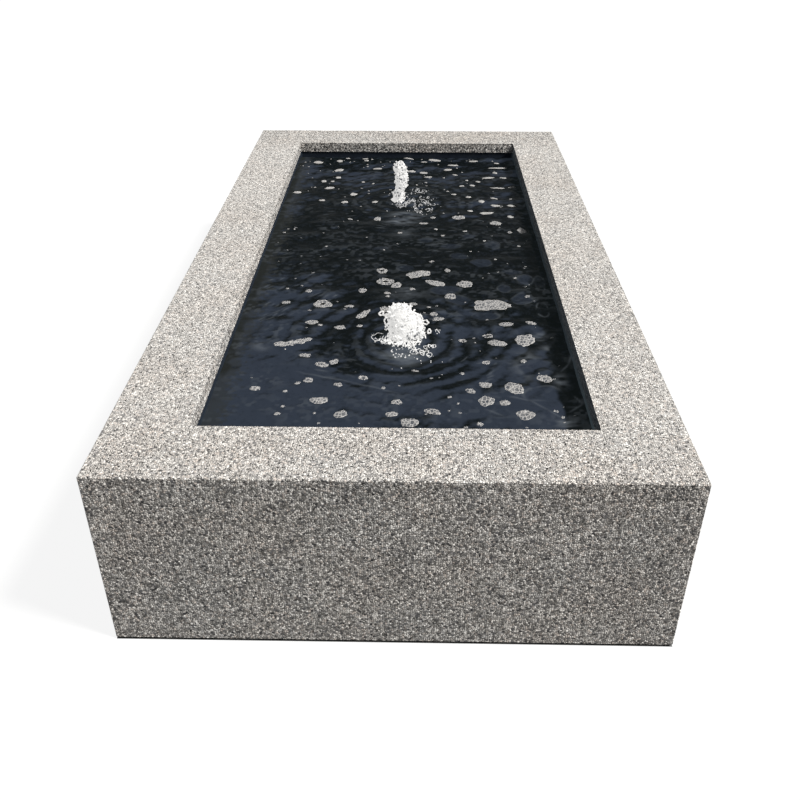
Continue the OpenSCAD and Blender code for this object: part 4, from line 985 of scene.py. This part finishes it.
def melted(balls, rows, voxel, cell, relief, holes, seed, core=None, hollows=(), lace_top=0.0):
    """Melts a jet's body and balls into one skin of froth, with bubble walls and pits between them.

    cell is the bubbles' size, relief how far walls stand up, and holes how dark pits are. Near the
    core, a centre and a radius, the froth stays plain white, and under lace_top its bubbles stand
    open. Returns the points, the faces and how deep in a pit each point is."""
    mesh = body_and_balls(rows, balls)
    lump = bpy.data.objects.new("melting", mesh)
    scene.collection.objects.link(lump)
    remesh = lump.modifiers.new("skin", "REMESH")
    remesh.mode = "VOXEL"
    remesh.voxel_size = voxel / 1000
    skin = bpy.data.meshes.new_from_object(lump.evaluated_get(bpy.context.evaluated_depsgraph_get()))
    bpy.data.objects.remove(lump)
    bpy.data.meshes.remove(mesh)
    skinned = bmesh.new()
    skinned.from_mesh(skin)
    bpy.data.meshes.remove(skin)
    bmesh.ops.smooth_vert(skinned, verts=skinned.verts, factor=0.4, use_axis_x=True, use_axis_y=True,
                          use_axis_z=True)
    skinned.normal_update()
    points, pits = [], []
    for vert in skinned.verts:
        at = vert.co * 1000
        apart, centres = noise.voronoi(vert.co * (1000 / cell))

        # Each bubble has its own chance, from 0 to 1, of standing open
        chance = math.sin(centres[0].dot(Vector((12.9, 78.2, 37.7))) + seed) * 437.5
        chance -= math.floor(chance)
        open_here = max(0.0, min(1.0, (apart[1] - apart[0]) * 3.6 - 0.6))
        low = max(0.0, min(1.0, (lace_top - at.z) / 12))
        pit = open_here * (0.35 + 0.65 * chance) * (1 if holes > 0.9 else chance)
        plain = max(0.0, 1 - (at - Vector(core[0])).length / core[1]) if core else 0.0
        ripple = noise.noise(vert.co * 330 + Vector((seed, 0, 0)))
        lean = relief * (0.35 + 0.5 * ripple - 1.1 * pit) * (1 - 0.6 * plain)
        shift = vert.normal * lean / 1000
        # How deep in a pit each point is, which the finish paints as shade
        pit = max(pit * holes * (1 - plain) ** 0.6, low * open_here)
        for x, z, radius, deep in hollows:
            near = max(0.0, 1 - math.hypot(at.x - x, at.z - z) / radius)
            if vert.normal.y < 0:
                shift += Vector((0, deep / 1000 * near, 0))
                pit = max(pit, min(1.0, 1.5 * near))
        points.append((vert.co + shift)[:])
        pits.append(pit)
    faces = np.array([[v.index for v in face.verts] for face in skinned.faces if len(face.verts) == 4])
    skinned.free()
    return np.array(points), faces, np.array(pits)


# The front burst stands straight on its left side and steps down to the right. Its hollows, pressed
# in and painted with shade, are places, a radius and a depth.
FRONT_ROWS = [(318, -8, 14, -426, 10), (321, -14, 26, -428, 24), (327, -18, 38, -428, 26),
              (334, -20, 50, -428, 27), (343, -20.5, 53, -428, 27), (352, -20, 51.5, -428, 25),
              (360, -21, 50, -427, 23), (367, -22, 48, -427, 21), (374, -23, 44, -426, 19),
              (379.5, -25, 42, -426, 17), (382, -23, 29, -426, 16), (389, -21, 26, -425, 14),
              (395, -18.5, 22.5, -425, 12), (399, -16, 18, -424, 9), (402, -11, 14, -424, 6),
              (403.5, -5, 10, -424, 3)]
FRONT_SPIKES = [(-13, 404), (-5, 406), (5, 409), (11, 407.5), (17, 402), (22, 398), (25, 392), (28.5, 385),
                (45.5, 383.5), (49, 376), (53, 367.5), (56, 352), (58, 337), (-23, 400), (-25, 390),
                (-28, 380.5), (-23, 343), (-24, 334), (-22, 327), (37, 383), (53, 344)]
FRONT_CORE = ((2, -440, 376), 32)
FRONT_HOLLOWS = [(40, 343, 6, 8), (34, 339, 5, 7), (46, 337, 4, 5), (22, 337, 4, 6), (18, 342, 3, 5),
                 (28, 331, 4, 5), (50, 329, 4, 5)]
front_balls = []
for number, (x, z) in enumerate(FRONT_SPIKES):
    y = -425 - number % 3 * 4
    strand(front_balls, (x * 0.62 + 4, y, z - 10), (x, y, z), 4.2, 1.1, 1.0)

# Loops that stand off it: an ear and a long double loop on the left, two small ones on the right
loop(front_balls, (-38.3, -430, 384), (4.6, 0, 0.5), (0.5, 0, 4.6), 1.5, 1)
strand(front_balls, (-24, -430, 379), (-35, -430, 381), 3.0, 2.0)
loop(front_balls, (-27, -432, 367), (5.0, 0, 0), (-1.0, 0, 8.5), 1.4, 2)
loop(front_balls, (-25, -434, 354), (4.5, 0, 1.0), (2.0, 0, 7.5), 1.4, 3)
loop(front_balls, (57.5, -428, 362), (4.5, 0, 2.5), (-2.0, 0, 4.5), 1.3, 5)
loop(front_balls, (65.5, -428, 340), (3.8, 0, 0), (0, 0, 4.2), 1.3, 6)
strand(front_balls, (19, -455, 338), (36, -486, 327), 1.6, 1.3, 2.0)
fringe(front_balls, FRONT_ROWS, 60, 324, 346, 4.6, 1.1, 300)
fringe(front_balls, FRONT_ROWS, 55, 346, 404, 3.4, 1.1, 400)

# Lace round the front half of its foot
LACE_LOOPS = 30
LACE_REACH = 33
lace = random.Random(9)
for number in range(LACE_LOOPS):
    angle = math.pi * (1.0 + number / (LACE_LOOPS - 1))
    out = LACE_REACH * lace.uniform(0.95, 1.35)
    at = (14 + out * math.cos(angle), -429 + out * math.sin(angle), lace.uniform(326, 329))
    loop(front_balls, at, (lace.uniform(2.5, 5.5), 0, 0.8), (0, lace.uniform(4.5, 9), 1.2), 1.0,
         500 + number, lace.choice((0.7, 1.0)))
points, faces, pits = melted(front_balls, FRONT_ROWS, voxel=0.95, cell=6.0, relief=2.1, holes=0.90,
                             seed=3.0, core=FRONT_CORE, hollows=FRONT_HOLLOWS, lace_top=334)
front_mesh = finished_mesh("front_froth", points, faces, spray, groove=pits)
add_piece(front_mesh, "front_nozzle_swivel", "foam", "front_jet")

# The rear column leans a little to the left of its nozzle and ends in two blunt peaks
REAR_ROWS = [(318, -13, 13, 425, 10), (324, -23, -4, 424, 9), (331, -34, -4, 424, 11),
             (344, -34, -4, 424, 12), (356, -32, -3.5, 424, 12), (364, -26.5, 0, 424, 13),
             (372, -26, 5, 424, 13), (384, -26, 6, 424, 13), (396, -26, 6, 424, 13),
             (408, -27.5, 5.5, 424, 13), (416, -29, 5, 424, 13), (424, -30, 4, 424, 12),
             (432, -29.5, 2, 424, 11), (438, -26.5, -1, 424, 9), (442.5, -22, -5, 424, 7),
             (446, -18, -7, 424, 5)]
REAR_SPIKES = [(-26, 446), (-21, 446), (-9, 448.5), (-12, 447.5), (-33, 431), (6, 431), (-32, 421),
               (8, 419), (9, 407), (-30, 401), (10.5, 391), (-29, 385), (10, 376), (-36, 355), (-41, 333),
               (1, 352), (1, 337), (-31, 411)]
REAR_HOLLOWS = [(2, 366, 4, 6), (-25, 431, 4, 6), (-9, 430, 4, 5)]
rear_balls = []
for number, (x, z) in enumerate(REAR_SPIKES):
    y = 424 - number % 3 * 3
    strand(rear_balls, (x * 0.6 - 5, y, z - 7), (x, y, z), 3.4, 1.3, 0.8)
strand(rear_balls, (-14, 416, 330), (-10, 410, 325), 3.6, 1.6)
fringe(rear_balls, REAR_ROWS, 26, 330, 352, 3.8, 1.2, 700)
fringe(rear_balls, REAR_ROWS, 52, 352, 438, 3.4, 1.3, 800)
points, faces, pits = melted(rear_balls, REAR_ROWS, voxel=1.05, cell=8.5, relief=2.6, holes=1.0, seed=8.0,
                             hollows=REAR_HOLLOWS)
rear_mesh = finished_mesh("rear_froth", points, faces, spray, groove=pits)
add_piece(rear_mesh, "rear_nozzle_swivel", "foam", "rear_jet")

# Splash: loops on the water round both jets, as places, half sizes and the part of each that is whole
CURLS = [(-46, -429, 13, 16, 0.8), (-43, -432, 8, 8, 0.6), (-34, -449, 6, 5, 1.0), (-28, -454, 6, 6, 1.0),
         (-38, -444, 5, 6, 0.7), (32, -493, 7, 10, 1.0), (43, -490, 5, 8, 1.0), (50, -499, 5, 8, 1.0),
         (57, -500, 5, 8, 0.8), (65, -505, 6, 7, 1.0), (60, -478, 6, 7, 1.0), (68, -474, 6, 6, 0.8),
         (75, -472, 4, 5, 1.0), (36, -478, 8, 10, 0.4), (84, -412, 5, 12, 0.4), (30, 524, 8, 16, 0.8),
         (38, 515, 7, 13, 1.0), (47, 508, 5, 9, 0.7), (60, 509, 6, 8, 1.0), (18, 436, 6, 8, 0.8),
         (26, 430, 5, 8, 1.0), (57, 424, 7, 11, 1.0), (62, 416, 5, 9, 0.8), (70, 454, 3, 7, 1.0),
         (47, 384, 4, 8, 0.7), (31, 370, 4, 9, 1.0), (35, 356, 5, 10, 1.0), (85, 394, 6, 7, 0.6),
         (69, 352, 6, 8, 0.8), (75, 372, 7, 16, 0.4), (44, 331, 5, 8, 0.8), (-20, 390, 6, 9, 1.0),
         (-9, 381, 6, 10, 0.8), (0, 384, 5, 8, 1.0), (-14, 372, 6, 6, 0.6), (8, 400, 5, 10, 0.7),
         (13, 416, 5, 10, 0.8), (4, 410, 4, 8, 1.0), (22, 410, 8, 16, 0.5), (64, 396, 10, 20, 0.35)]

# Drops on the water round both jets, in millimetres
DROPS = [(8, -500), (21, -484), (68, -530), (68, -537), (92, -532), (48, -539), (7, -562), (83, -412),
         (47, -527), (-58, -437), (-60, -420), (-52, -448), (1, 335), (9, 343), (15, 343), (21, 333),
         (-49, 474), (-37, 396), (9, 391), (92, 396), (78, 345), (52, 362), (26, 344), (70, 430), (40, 440)]
NEAR_DROPS, FAR_DROPS = 56, 70


def on_water(x, y):
    """Height of the rippled water at a place, all in millimetres."""
    return 1000 * (WATER_Z + float(wave_height(x / 1000, y / 1000)))


splash_balls = []
drops = list(DROPS)
scatter = random.Random(21)
for number, (x, y, half_x, half_y, part) in enumerate(CURLS):
    lean = 1.6 * math.sin(number * 1.7)
    loop(splash_balls, (x, y, on_water(x, y) + 1.2), (half_x, 0, lean), (0, half_y, 1.0),
         1.0 if y < 0 else 0.9, 200 + number, part)
    for _ in range(3):
        drops.append((x + scatter.uniform(-1.4, 1.4) * half_x, y + scatter.uniform(-1.4, 1.4) * half_y))
drops += [(scatter.uniform(-16, 40), scatter.uniform(-522, -460)) for _ in range(NEAR_DROPS)]
drops += [(scatter.gauss(42, 30), scatter.gauss(430, 55)) for _ in range(FAR_DROPS)]
for x, y in drops:
    splash_balls.append((x, y, on_water(x, y) + 0.4, scatter.uniform(0.9, 2.1)))
points, faces, pits = melted(splash_balls, [], voxel=0.85, cell=5.0, relief=0.5, holes=0.5, seed=12.0)
# The splash's pits are painted with shade, more round the far jet than round the near one
dimmer = np.where(points[:, 1] > 0, 0.56, 0.28)
splash_mesh = finished_mesh("splash_curls", points, faces, spray, groove=dimmer + 0.4 * pits)
add_piece(splash_mesh, "basin", "foam")
